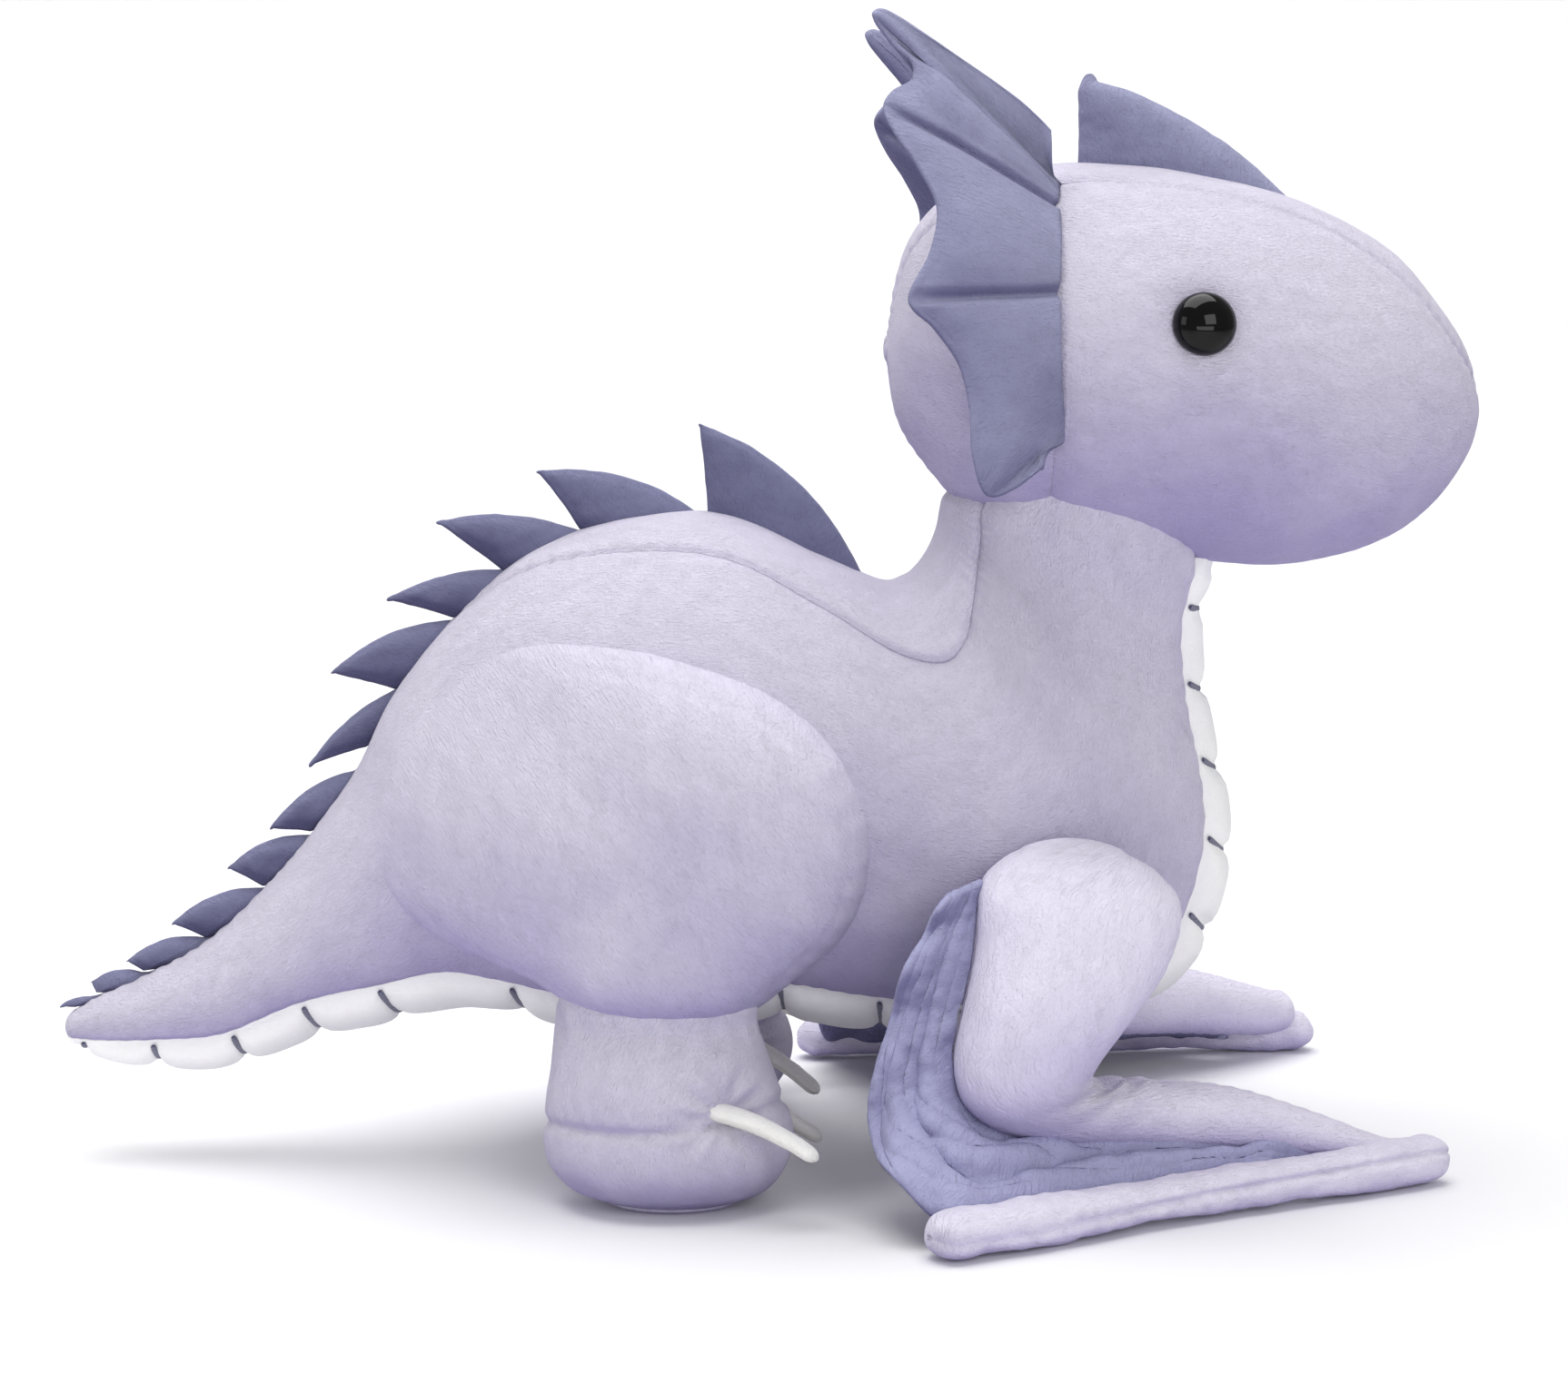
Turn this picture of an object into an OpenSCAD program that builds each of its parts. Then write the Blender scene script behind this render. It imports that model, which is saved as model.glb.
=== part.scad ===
// Plush winged dragon, lying on its folded wings and hind feet. Units are millimetres.
// +X is forward (nose), +Z is up, -Y is the dragon's right side. Z = 0 is the floor.
// Every skin panel is a thin fabric shell over a stuffing core; stations describe each
// tube as [top x, top z, bottom x, bottom z, half width, gusset half width, belly half width].

/* [Fabric] */
// fabric and pile thickness of every skin panel
skin_t = 2; // [1.2:0.1:3]
// gap left between a skin panel and what lies under it
lay_gap = 0.3; // [0.3:0.1:0.8]
// room between a fabric tube and the stuffing in it
fill_gap = 1.6; // [0.8:0.1:3]
// gap between two pieces that move apart
move_gap = 0.5; // [0.3:0.1:1]

/* [Back spines and crest] */
// thickness of a spine at its base
spine_t = 6; // [4:0.5:10]
// thickness of the crest at its base
crest_t = 14; // [8:1:20]

/* [Head] */
// diameter of the safety eye
eye_d = 18; // [12:1:24]
// height of the eye dome
eye_h = 6.5; // [4:0.5:9]
// diameter of the eye post
post_d = 5; // [4:0.5:6]
// diameter of the washer that locks the eye
washer_d = 16; // [12:1:20]
// thickness of an ear fin at its root
ear_t = 6; // [4:0.5:9]

/* [Legs] */
// radius of the round thigh, seen from the side
thigh_r = 59; // [50:1:66]
// half thickness of the thigh
thigh_h = 30; // [24:1:36]
// thickness of the sole pad
sole_t = 2.6; // [2:0.2:4]
// claw length
claw_l = 29; // [20:1:36]

/* [Wings] */
// how far the left forearm is turned outward at the elbow
left_yaw = 45; // [0:1:50]
// how much further the left finger is opened at the wrist
left_open = 12; // [0:1:20]
// half width of the wing finger
finger_w = 8; // [6:0.5:11]
// half height of the wing finger
finger_h = 7; // [5:0.5:9]
// thickness of the membrane
membrane_t = 3; // [2:0.2:4]

/* [Shift] */
// moves the whole dragon along X so that the origin is under its middle
shift_x = 7.5; // [-30:0.1:30]
// moves the whole dragon along Y so that the origin is under its middle
shift_y = -9.9; // [-30:0.1:30]

/* [Hidden] */
around = 30;        // points round a tube
fine = 40;          // facets of turned shapes that are joined to a faceted one
lilac = [0.80, 0.76, 0.90];
lilac_deep = [0.74, 0.70, 0.86];
slate = [0.49, 0.52, 0.69];
white = [0.94, 0.94, 0.93];
thread = [0.36, 0.38, 0.52];
black = [0.03, 0.03, 0.03];
fill = [0.97, 0.96, 0.93];

// tail, torso and neck, from the tail tip to the top of the neck
body_st = [
    [-216.5, 42, -216.5, 34, 4, 0.3, 3],
    [-207, 49, -205, 31, 9, 0.3, 7],
    [-192, 56, -189, 29, 13, 0.3, 11],
    [-174, 66, -165, 30, 18, 0.3, 15],
    [-156, 82, -141, 38.5, 23, 0.3, 19],
    [-142, 98, -118, 43, 28, 0.3, 22],
    [-128, 118, -97, 48, 34, 0.3, 24],
    [-116, 141, -80, 46, 42, 0.3, 26],
    [-98, 163, -62, 42, 50, 3, 28],
    [-74, 183, -42, 40, 57, 16, 30],
    [-45, 193, -22, 42, 60, 25, 32],
    [-16, 193, 0, 45, 59, 29, 32],
    [10, 182, 26, 41, 56, 31, 31],
    [28, 174, 62, 38, 52, 34, 29],
    [35, 175, 98, 44, 49, 36, 27],
    [39, 178, 121, 61, 47, 34, 25],
    [42.5, 183, 130.5, 86, 45, 30, 24],
    [45, 189, 130, 110, 42.5, 27, 22],
    [46, 194, 124.5, 137, 40, 26, 20],
    [46.5, 199, 122, 159, 38.5, 25, 18],
    [47, 203, 126.5, 177.5, 38, 24, 17]
];
tail_cut = 6;                 // station at which the tail bends
neck_cut = len(body_st) - 1;  // station at which the head turns

// head, from the back of the skull to the nose
head_st = [
    [30.2, 246, 30.2, 238, 6, 4, 0.3],
    [33, 264, 33, 222, 24, 8, 0.3],
    [39, 278, 39, 211, 36, 15, 0.3],
    [50, 288.5, 50, 198, 46, 19, 0.3],
    [64, 293.5, 64, 190, 52, 21, 0.3],
    [76, 295.5, 76, 186.5, 54.5, 22, 0.3],
    [88, 296, 88, 183.5, 56, 22, 0.3],
    [106, 295, 106, 181, 56.5, 22, 0.3],
    [126, 292, 126, 179, 55.5, 22, 0.3],
    [146, 287, 146, 178, 52, 22, 0.3],
    [164, 279.5, 164, 181, 46.5, 22, 0.3],
    [180, 269, 180, 187.5, 39, 22, 0.3],
    [192, 255, 192, 197, 30, 20, 0.3],
    [200, 241.5, 200, 209, 18, 13, 0.3],
    [203.5, 230, 203.5, 219, 7, 5, 0.3]
];
ear_cut = 5;                  // station where the ears are sewn in

// back spines, neck to tail tip: [front station, rear station, [tip x, tip z]]
spine_st = [
    [12.6, 10.8, [-25, 220]],
    [10.6, 9.52, [-73, 206]],
    [9.4, 8.68, [-103, 191]],
    [8.6, 8.02, [-118, 168]],
    [7.9, 7.05, [-135, 146]],
    [6.95, 6.3, [-142, 118]],
    [5.88, 5.05, [-154, 99]],
    [4.9, 4.0, [-167, 87]],
    [3.9, 3.03, [-184, 70]],
    [2.93, 1.98, [-198, 58.5]],
    [1.86, 1.0, [-209, 52]],
    [0.72, 0.1, [-218.5, 44.5]]
];

// white scales: stations at which a row of stitching crosses the belly panel
bar_st = [0.45, 2.05, 3.13, 4.08, 5.14, 7.2, 8.4, 9.75, 11, 12.1, 12.8, 13.5, 14.25, 15.35, 16.3, 17.3, 18.2, 19.3];

thigh_c = [-36, 50, 98];      // centre of the thigh, y for the left side
foot_c = [-34, 58];           // centre of the foot, x and y
// foot: [z, half length, half width, x of the middle]
foot_st = [
    [2.9, 27, 19, -33], [6, 31, 22.5, -33], [12, 33.5, 25, -33], [20, 34.5, 26, -33.5],
    [29, 34, 25.5, -34], [38, 31.5, 23.5, -35], [46, 29.5, 21.5, -36], [51, 29, 21, -36],
    [58, 31, 22, -36]
];

// arm, right side: [outer x, y, z], [inner x, y, z], half thickness, share of the elbow turn
arm_st = [
    [[72, -60, 107.5], [90, -60, 107], 5, 0],
    [[61, -62, 102], [104, -62, 100], 12, 0],
    [[54, -65, 92], [112, -65, 88], 17, 0],
    [[53, -68, 78], [108, -68, 71], 19.5, 0],
    [[50, -71, 62], [97, -71, 55], 20, 0],
    [[47, -72, 47], [90, -70, 45], 19, 0],
    [[49, -72, 34], [88, -67, 40], 17.5, 0.25],
    [[58, -70, 25], [91, -63, 38], 15, 0.55],
    [[74, -65, 19.5], [98, -59, 38], 12.5, 0.85],
    [[96, -58, 16], [108, -54, 36], 10.5, 1],
    [[126, -49, 13], [131, -47, 31.5], 8.5, 1],
    [[150, -43, 10], [154, -42, 23], 6.5, 1],
    [[170, -39, 7], [172, -38.5, 15.5], 4.5, 1],
    [[179, -37, 7], [180, -37, 13], 3, 1]
];
elbow = [62, -68];
wrist = [187, -36, 7.2];
corner = [46, -114, 7.2];     // rear corner of the wing, at the end of the finger

// ear fin, right side: outline seen from the side [x, y, z], then the share of the root it belongs to
ear_st = [
    [[58, -26, 311.5], 0], [[45, -31, 322], 0.02], [[34, -34, 331], 0.04],
    [[26, -36, 336], 0.06], [[29, -39, 329], 0.08], [[36, -42, 319], 0.1], [[33, -46, 313], 0.13],
    [[28, -49, 310], 0.16], [[31, -53, 302], 0.22], [[37, -56, 293], 0.29], [[42, -59, 282], 0.37],
    [[40, -62, 270], 0.43], [[34, -65, 257], 0.5], [[41, -65, 249], 0.58], [[48, -65, 239], 0.67],
    [[51, -65, 227], 0.76], [[52, -65, 214], 0.84], [[56, -64, 203], 0.9], [[64, -62, 205], 0.95],
    [[71, -58, 210], 1]
];
ear_root_a = 66;              // first and last angle of the ear seam on the head
ear_root_b = -28;

eye_c = [117, -53.2, 250];
eye_turn = [14, 4];           // degrees up and forward

// ---- tubes described by stations -------------------------------------------------------

// smooth value of a station list at a fractional station
function spline(a, b, c, d, f) =
    b + f * (c - a + f * (2 * a - 5 * b + 4 * c - d + f * (3 * (b - c) + d - a))) / 2;
function at(st, s) =
    let (i = max(0, min(len(st) - 2, floor(s))), n = len(st) - 1)
    spline(st[max(0, i - 1)], st[i], st[i + 1], st[min(n, i + 2)], s - i);

// point of a tube at station s and angle t (0 = left, 90 = top), moved out by off
function tube_pt(st, s, t, off) =
    let (
        q = at(st, s),
        mid = [q[0] + q[2], q[1] + q[3]] / 2,
        up = [q[0] - q[2], q[1] - q[3]] / 2,
        k = (norm(up) + off) / norm(up)
    )
    [mid[0] + up[0] * k * sin(t), (q[4] + off) * cos(t), mid[1] + up[1] * k * sin(t)];

function ramp(a, b, n) = [for (i = [0:n]) a + (b - a) * i / n];
// a half width w0 turned into the angle it covers on a tube
function reach(w0, w) = asin(min(0.97, w0 / w));

// faces of a grid of rows x cols points that starts at index o; flip turns them over
function grid_faces(rows, cols, o, flip) = [
    for (i = [0:rows - 2], j = [0:cols - 2], h = [0, 1])
        let (
            a = o + i * cols + j, b = a + 1, c = a + cols, d = c + 1,
            f = h == 0 ? [a, b, d] : [a, d, c]
        )
        flip ? [f[2], f[1], f[0]] : f
];

// closed solid between an outer and an inner grid of points
module sheet_solid(outer, inner) {
    rows = len(outer);
    cols = len(outer[0]);
    n = rows * cols;
    points = concat([for (r = outer) for (p = r) p], [for (r = inner) for (p = r) p]);
    left = [for (i = [0:rows - 2]) each [[i * cols, (i + 1) * cols, n + i * cols],
        [(i + 1) * cols, n + (i + 1) * cols, n + i * cols]]];
    right = [for (i = [0:rows - 2]) let (a = (i + 1) * cols - 1, b = a + cols)
        each [[a, n + a, b], [b, n + a, n + b]]];
    low = [for (j = [0:cols - 2]) each [[j, n + j, j + 1], [j + 1, n + j, n + j + 1]]];
    high = [for (j = [0:cols - 2]) let (a = (rows - 1) * cols + j)
        each [[a, a + 1, n + a], [a + 1, n + a + 1, n + a]]];
    polyhedron(points, concat(grid_faces(rows, cols, 0, false), grid_faces(rows, cols, n, true),
        left, right, low, high), convexity = 6);
}

function middle(r) = [for (k = [0:2]) [for (p = r) p[k]] * [for (p = r) 1] / len(r)];

// closed tube through rings of points, with flat ends
module ring_solid(rings) {
    n = len(rings[0]);
    m = len(rings);
    points = concat([for (r = rings) each r], [middle(rings[0]), middle(rings[m - 1])]);
    sides = [for (i = [0:m - 2], j = [0:n - 1], h = [0, 1])
        let (a = i * n + j, b = i * n + (j + 1) % n, c = a + n, d = b + n)
        h == 0 ? [a, d, b] : [a, c, d]];
    first = [for (j = [0:n - 1]) [m * n, j, (j + 1) % n]];
    last = [for (j = [0:n - 1]) [m * n + 1, (m - 1) * n + (j + 1) % n, (m - 1) * n + j]];
    polyhedron(points, concat(sides, first, last), convexity = 6);
}

// stuffing: the whole tube between two stations, moved in or out by off
module tube(st, s0, s1, off, steps) {
    ring_solid([for (s = ramp(s0, s1, steps))
        [for (j = [0:around - 1]) tube_pt(st, s, 360 * j / around, off)]]);
}

// skin panel on one side: side = 1 is the left, -1 the right
module side_panel(st, s0, s1, side, steps, cols) {
    function row(s, off) =
        let (
            q = at(st, s),
            t0 = 90 - reach(q[5] + 0.15, q[4]),
            t1 = -90 + reach(q[6] + 0.15, q[4])
        )
        [for (j = [0:cols]) tube_pt(st, s, t0 + (t1 - t0) * j / cols, off)];
    scale([1, side, 1])
    sheet_solid([for (s = ramp(s0, s1, steps)) row(s, 0)],
        [for (s = ramp(s0, s1, steps)) row(s, -skin_t)]);
}

// skin panel on the centre line: top = 1 is the back gusset, -1 the belly
module centre_panel(st, s0, s1, top, steps, cols, out, inn, trim) {
    function row(s, off) =
        let (
            q = at(st, s),
            a = reach((top > 0 ? q[5] : q[6]) - trim, q[4]),
            mid = top > 0 ? 90 : 270
        )
        [for (j = [0:cols]) tube_pt(st, s, mid + a - 2 * a * j / cols, off)];
    sheet_solid([for (s = ramp(s0, s1, steps)) row(s, out)],
        [for (s = ramp(s0, s1, steps)) row(s, inn)]);
}

// ---- joints ------------------------------------------------------------------------------

// turned dome about the tail's hinge, semi axes w (out) and h (along the hinge)
tail_q = body_st[tail_cut];
tail_pin = [(tail_q[0] + tail_q[2]) / 2, 0, (tail_q[1] + tail_q[3]) / 2];
tail_half = norm([tail_q[0] - tail_q[2], tail_q[1] - tail_q[3]]) / 2;
tail_lean = atan2(tail_q[0] - tail_q[2], tail_q[1] - tail_q[3]);
module tail_dome(off) {
    w = tail_q[4] + off;
    h = tail_half + off;
    translate(tail_pin)
    rotate([0, tail_lean, 0])
    rotate_extrude($fn = fine)
    polygon([for (i = [0:16]) let (a = -90 + 180 * i / 16) [w * max(0, cos(a)), h * sin(a)]]);
}

// the thigh as a turned lens about the hip axis, grown by off
module thigh_lens(side, off) {
    translate([thigh_c[0], side * thigh_c[1], thigh_c[2]])
    rotate([90, 0, 0])
    rotate_extrude($fn = fine)
    polygon([for (i = [0:16]) let (a = -90 + 180 * i / 16)
        [(thigh_r + off) * max(0, cos(a)), (thigh_h + off) * sin(a)]]);
}

// ---- torso and tail ----------------------------------------------------------------------

module torso_pockets() {
    tail_dome(move_gap);
    thigh_lens(1, move_gap);
    thigh_lens(-1, move_gap);
}

module body_side(side) {
    color(lilac)
    difference() {
        side_panel(body_st, tail_cut + 0.02, neck_cut - 0.02, side, 20, 8);
        torso_pockets();
    }
}

module back_gusset() {
    color(lilac)
    difference() {
        centre_panel(body_st, 8.1, neck_cut - 0.02, 1, 18, 4, 0, -skin_t, 0.15);
        torso_pockets();
    }
}

module belly_panel() {
    color(white)
    difference() {
        centre_panel(body_st, tail_cut + 0.02, neck_cut - 0.02, -1, 20, 4, 0, -skin_t, 0.15);
        torso_pockets();
    }
}

// one row of stitching lying on the belly panel, just over the fabric
module stitch_row(s) {
    centre_panel(body_st, s - 0.03, s + 0.03, -1, 1, 4, 1.4, 0.8, 1);
}

module belly_stitches() {
    color(thread)
    for (s = [for (b = bar_st) if (b > tail_cut + 0.5) b])
        stitch_row(s);
}

module body_stuffing() {
    color(fill)
    difference() {
        tube(body_st, tail_cut + 0.02, neck_cut - 0.02, -skin_t - fill_gap, 20);
        torso_pockets();
    }
}

module tail_side(side) {
    color(lilac)
    side_panel(body_st, 0, tail_cut - 0.02, side, 10, 6);
}

module tail_underside() {
    color(white)
    centre_panel(body_st, 0, tail_cut - 0.02, -1, 10, 4, 0, -skin_t, 0.15);
}

module tail_stitches() {
    color(thread)
    for (s = [for (b = bar_st) if (b < tail_cut) b])
        stitch_row(s);
}

module tail_stuffing() {
    color(fill)
    union() {
        tube(body_st, 0.9, tail_cut - 0.02, -skin_t - fill_gap * 1.7, 10);
        tail_dome(-skin_t - fill_gap * 4);
    }
}

// ---- back spines and crest ---------------------------------------------------------------

// flat two-layer spike standing on a tube: front edge bowed out, rear edge bowed in, thin rim
module spike(st, s_front, s_rear, tip, t, bow) {
    base = [for (s = ramp(s_rear, s_front, 4)) let (p = tube_pt(st, s, 90, 0.7)) [p[0], p[2]]];
    f = base[4];
    r = base[0];
    nrm = [(tip - f)[1], -(tip - f)[0]] / norm(tip - f);
    edge = concat(
        base,
        [for (i = [1:6]) let (k = i / 6) f + (tip - f) * k + nrm * bow * 4 * k * (1 - k)],
        [for (i = [1:3]) let (k = i / 4) tip + (r - tip) * k + nrm * bow * 0.5 * 4 * k * (1 - k)]
    );
    mid = (f + r) * 0.38 + tip * 0.24;
    inner = [for (p = edge) mid + (p - mid) * 0.6];
    ring_solid([
        [for (p = inner) [p[0], t / 2, p[1]]],
        [for (p = edge) [p[0], 0.8, p[1]]],
        [for (p = edge) [p[0], -0.8, p[1]]],
        [for (p = inner) [p[0], -t / 2, p[1]]]
    ]);
}

module spine(i) {
    q = spine_st[i - 1];
    w = norm(tube_pt(body_st, q[0], 90, 0) - tube_pt(body_st, q[1], 90, 0));
    color(slate)
    spike(body_st, q[0], q[1], q[2], min(spine_t, 2 + w * 0.2), w * 0.09);
}

module crest() {
    color(slate)
    spike(head_st, 9.05, 5.86, [82, 323], crest_t, 6);
}

// ---- head --------------------------------------------------------------------------------

// everything the head gives way to: the neck below the turning plane, the eye posts and washers
neck_q = body_st[neck_cut];
neck_pin = [(neck_q[0] + neck_q[2]) / 2, 0, (neck_q[1] + neck_q[3]) / 2];
neck_lean = atan2(neck_q[1] - neck_q[3], neck_q[2] - neck_q[0]);
module under_neck_plane() {
    translate(neck_pin)
    rotate([0, neck_lean, 0])
    translate([-60, -60, -80])
    cube([120, 120, 80.4]);
}

module eye_pose(side) {
    translate([eye_c[0], -side * eye_c[1], eye_c[2]])
    rotate([-side * (90 - eye_turn[0]), 0, 0])
    rotate([0, eye_turn[1], 0])
    children();
}

module eye_space(side) {
    eye_pose(side)
    translate([0, 0, -14])
    cylinder(d = post_d + 1, h = 18, $fn = 24);
    eye_pose(side)
    translate([0, 0, -7.2])
    cylinder(d = washer_d + 1, h = 3.6, $fn = 32);
}

module head_room() {
    under_neck_plane();
    eye_space(1);
    eye_space(-1);
}

module face_side(side) {
    color(lilac)
    difference() {
        side_panel(head_st, ear_cut + 0.02, len(head_st) - 1, side, 14, 10);
        under_neck_plane();
        eye_pose(side)
        translate([0, 0, -9])
        cylinder(d = post_d + 1, h = 18, $fn = 24);
        eye_pose(side)
        translate([0, 0, -0.3])
        cylinder(d = eye_d + 1, h = 18, $fn = fine);
    }
}

module head_back(side) {
    color(lilac)
    difference() {
        side_panel(head_st, 0, ear_cut - 0.02, side, 7, 10);
        under_neck_plane();
    }
}

module head_gusset() {
    color(lilac)
    difference() {
        centre_panel(head_st, 0, len(head_st) - 1, 1, 20, 4, 0, -skin_t, 0.15);
        under_neck_plane();
    }
}

module head_stuffing() {
    color(fill)
    difference() {
        tube(head_st, 0.25, len(head_st) - 1.25, -skin_t - fill_gap * 0.75, 16);
        head_room();
    }
}

// safety eye: low dome, flat back and a post that goes through the fabric
module eye(side) {
    color(black)
    eye_pose(side)
    union() {
        rotate_extrude($fn = 64)
        polygon(concat([[0, 0]], [for (i = [0:12]) let (a = 90 * i / 12)
            [eye_d / 2 * cos(a), 0.6 + eye_h * sin(a)]], [[0, 0.6 + eye_h]]));
        translate([0, 0, -12])
        cylinder(d = post_d, h = 12.5);
    }
}

module eye_washer(side) {
    color(white)
    eye_pose(side)
    translate([0, 0, -6.6])
    difference() {
        cylinder(d = washer_d, h = 2.4);
        translate([0, 0, -1])
        cylinder(d = post_d + 0.1, h = 5);
    }
}

// ear fin: each outline point is joined to its own place on the root seam, just off the head
function ear_root(k) =
    let (a = ear_root_a + (ear_root_b - ear_root_a) * k)
    tube_pt(head_st, ear_cut, 180 - a, 0.8 + ear_t / 2 * abs(cos(a)));
module ear(side) {
    steps = 5;
    function row(e, off) = [for (i = [0:steps])
        let (
            k = i / steps,
            a = ear_root(e[1]),
            p = a + (e[0] - a) * k,
            t = (ear_t * (1 - k * 0.35) / 2) * (k > 0.99 ? 0.4 : 1)
        )
        p + [0.25, 1, 0.1] * off * t];
    color(slate)
    difference() {
        scale([1, -side, 1])
        sheet_solid([for (e = ear_st) row(e, 1)], [for (e = ear_st) row(e, -1)]);
        tube(head_st, 3, 6, lay_gap, 4);
    }
}

// ---- hind legs ---------------------------------------------------------------------------

module thigh(side) {
    color(lilac)
    difference() {
        thigh_lens(side, 0);
        thigh_lens(side, -skin_t);
        translate([-150, side > 0 ? 0 : -thigh_c[1], 0])
        cube([240, thigh_c[1], 200]);
    }
}

module thigh_stuffing(side) {
    color(fill)
    thigh_lens(side, -skin_t - lay_gap);
}

function foot_ring(q, off) = [for (j = [0:around - 1])
    let (t = 360 * j / around)
    [q[3] + (q[1] + off) * cos(t), foot_c[1] + (q[2] + off) * sin(t), q[0]]];

module foot(side) {
    color(lilac_deep)
    scale([1, side, 1])
    difference() {
        ring_solid([for (q = foot_st) foot_ring(q, 0)]);
        ring_solid([for (q = concat([[1, 27, 19, -33]], foot_st, [[60, 31, 22, -36]]))
            foot_ring(q, -skin_t)]);
        thigh_lens(1, lay_gap);
        for (c = claw_st)
            claw_hole(c);
    }
}

module foot_stuffing(side) {
    color(fill)
    scale([1, side, 1])
    difference() {
        ring_solid([for (q = foot_st) foot_ring(q, -skin_t - lay_gap)]);
        thigh_lens(1, lay_gap);
        for (c = claw_st)
            claw_hole(c);
    }
}

module sole(side) {
    color(lilac_deep)
    translate([foot_st[0][3], side * foot_c[1], 0])
    rotate_extrude($fn = 64)
    polygon([[0, 0], [16.5, 0], [18, 0.5], [18.6, 1.3], [18.6, sole_t], [0, sole_t]]);
}

// soft suede claws sewn into the foot seam: [[base x, y, z], turn outward, turn down]
claw_st = [[[-17, 77, 31], 25, 14], [[-14, 40, 25], -25, 22]];
module claw_pose(c) {
    translate(c[0])
    rotate([0, 0, c[1]])
    rotate([0, 90 + c[2], 0])
    children();
}

module claw_hole(c) {
    claw_pose(c)
    translate([0, 0, -3])
    cylinder(d = 7.4, h = 16, $fn = 16);
}

module claw(side, i) {
    color(white)
    scale([1, side, 1])
    claw_pose(claw_st[i])
    rotate_extrude($fn = 48)
    polygon([[0, -2.5], [2.4, -2.5], [3.3, -1], [3.3, claw_l * 0.4], [2.6, claw_l * 0.75],
        [1.6, claw_l * 0.93], [0, claw_l]]);
}

// ---- wings -------------------------------------------------------------------------------

function turn2(p, c, a) = [
    c[0] + (p[0] - c[0]) * cos(a) - (p[1] - c[1]) * sin(a),
    c[1] + (p[0] - c[0]) * sin(a) + (p[1] - c[1]) * cos(a),
    p[2]
];
function wing_yaw(side) = side > 0 ? -left_yaw : 0;
function wing_open(side) = side > 0 ? left_open : 0;
function wrist_of(side) = turn2(wrist, elbow, wing_yaw(side));
function corner_of(side) = turn2(turn2(corner, wrist, wing_open(side)), elbow, wing_yaw(side));

// the wing is described for the right side and mirrored for the left
function arm_ring(q, off, side) =
    let (
        a = turn2(q[0], elbow, wing_yaw(side) * q[3]),
        b = turn2(q[1], elbow, wing_yaw(side) * q[3]),
        mid = (a + b) / 2,
        p = (b - a) / 2,
        pk = p * (norm(p) + off) / norm(p),
        along = [sin(wing_yaw(side) * q[3] + 15 * q[3]), -cos(wing_yaw(side) * q[3] + 15 * q[3]), 0],
        r = q[2] + off
    )
    [for (j = [0:around / 1.5 - 1]) let (t = 540 * j / around) mid + pk * cos(t) + along * r * sin(t)];

module arm_tube(side, off) {
    n = len(arm_st) - 1;
    ring_solid([for (s = ramp(0, n, 22)) arm_ring([for (k = [0:3]) arm_value(s, k)], off, side)]);
}

// finger: a soft bar from the wrist to the rear corner, round at both ends
module finger_bar(side, off) {
    w = wrist_of(side);
    c = corner_of(side);
    d = c - w;
    translate(w)
    rotate([0, 0, atan2(d[1], d[0])])
    union() {
        rotate_extrude($fn = 32)
        bar_profile(off);
        intersection() {
            translate([0, -20, -20])
            cube([norm(d), 40, 40]);
            rotate([0, 90, 0])
            linear_extrude(norm(d))
            polygon([for (j = [0:23]) let (t = 15 * j)
                [-(finger_h + off) * soft(sin(t)), (finger_w + off) * soft(cos(t))]]);
        }
        translate([norm(d), 0, 0])
        rotate_extrude($fn = 32)
        bar_profile(off);
    }
}
function soft(v) = sign(v) * pow(abs(v), 0.8);
module bar_profile(off) {
    polygon([for (j = [-6:6]) let (t = 15 * j)
        [(finger_w + off) * soft(cos(t)), (finger_h + off) * soft(sin(t))]]);
}

module mirror_wing(side) {
    scale([1, -side, 1])
    children();
}

module arm(side) {
    color(lilac)
    difference() {
        mirror_wing(side)
        difference() {
            arm_tube(side, 0);
            finger_bar(side, move_gap);
        }
        tube(body_st, 12.5, 17.5, move_gap, 8);
    }
}

module finger(side) {
    color(lilac)
    mirror_wing(side)
    finger_bar(side, 0);
}

// membrane: runs from the back of the arm, under the forearm, out to the finger and its free edge
membrane_st = [1.6, 2.5, 3.3, 4.2, 5, 6, 7, 8, 8.8, 9.5, 10.1];
function arm_value(s, k) =
    let (n = len(arm_st) - 1, i = min(n - 1, floor(s)))
    spline(arm_st[max(0, i - 1)][k], arm_st[i][k], arm_st[i + 1][k], arm_st[min(n, i + 2)][k], s - i);
function arm_line(side) = [for (s = membrane_st)
    let (
        a = arm_value(s, 0),
        b = arm_value(s, 1),
        out = (a - b) / norm(a - b),
        p = a + out * (membrane_t / 2 + 0.9) + [0, -2, 0]
    )
    turn2(p, elbow, wing_yaw(side) * arm_value(s, 3))];
function free_line(side) =
    let (
        w = wrist_of(side),
        c = corner_of(side),
        v = (c - w) / norm(c - w),
        n = [v[1], -v[0], 0],
        low = [28, -71, 26],
        edge = finger_w + membrane_t / 2 + 0.8
    )
    concat(
        [[47, -74, 94], [40, -74, 80], [33, -72, 64], [28, -71, 44]],
        [for (k = [0, 0.5]) low + (c + v * 3 + n * 4 - low) * k],
        [for (k = [0.98, 0.85, 0.7, 0.57, 0.48]) w + (c - w) * k + n * edge]
    );
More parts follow.
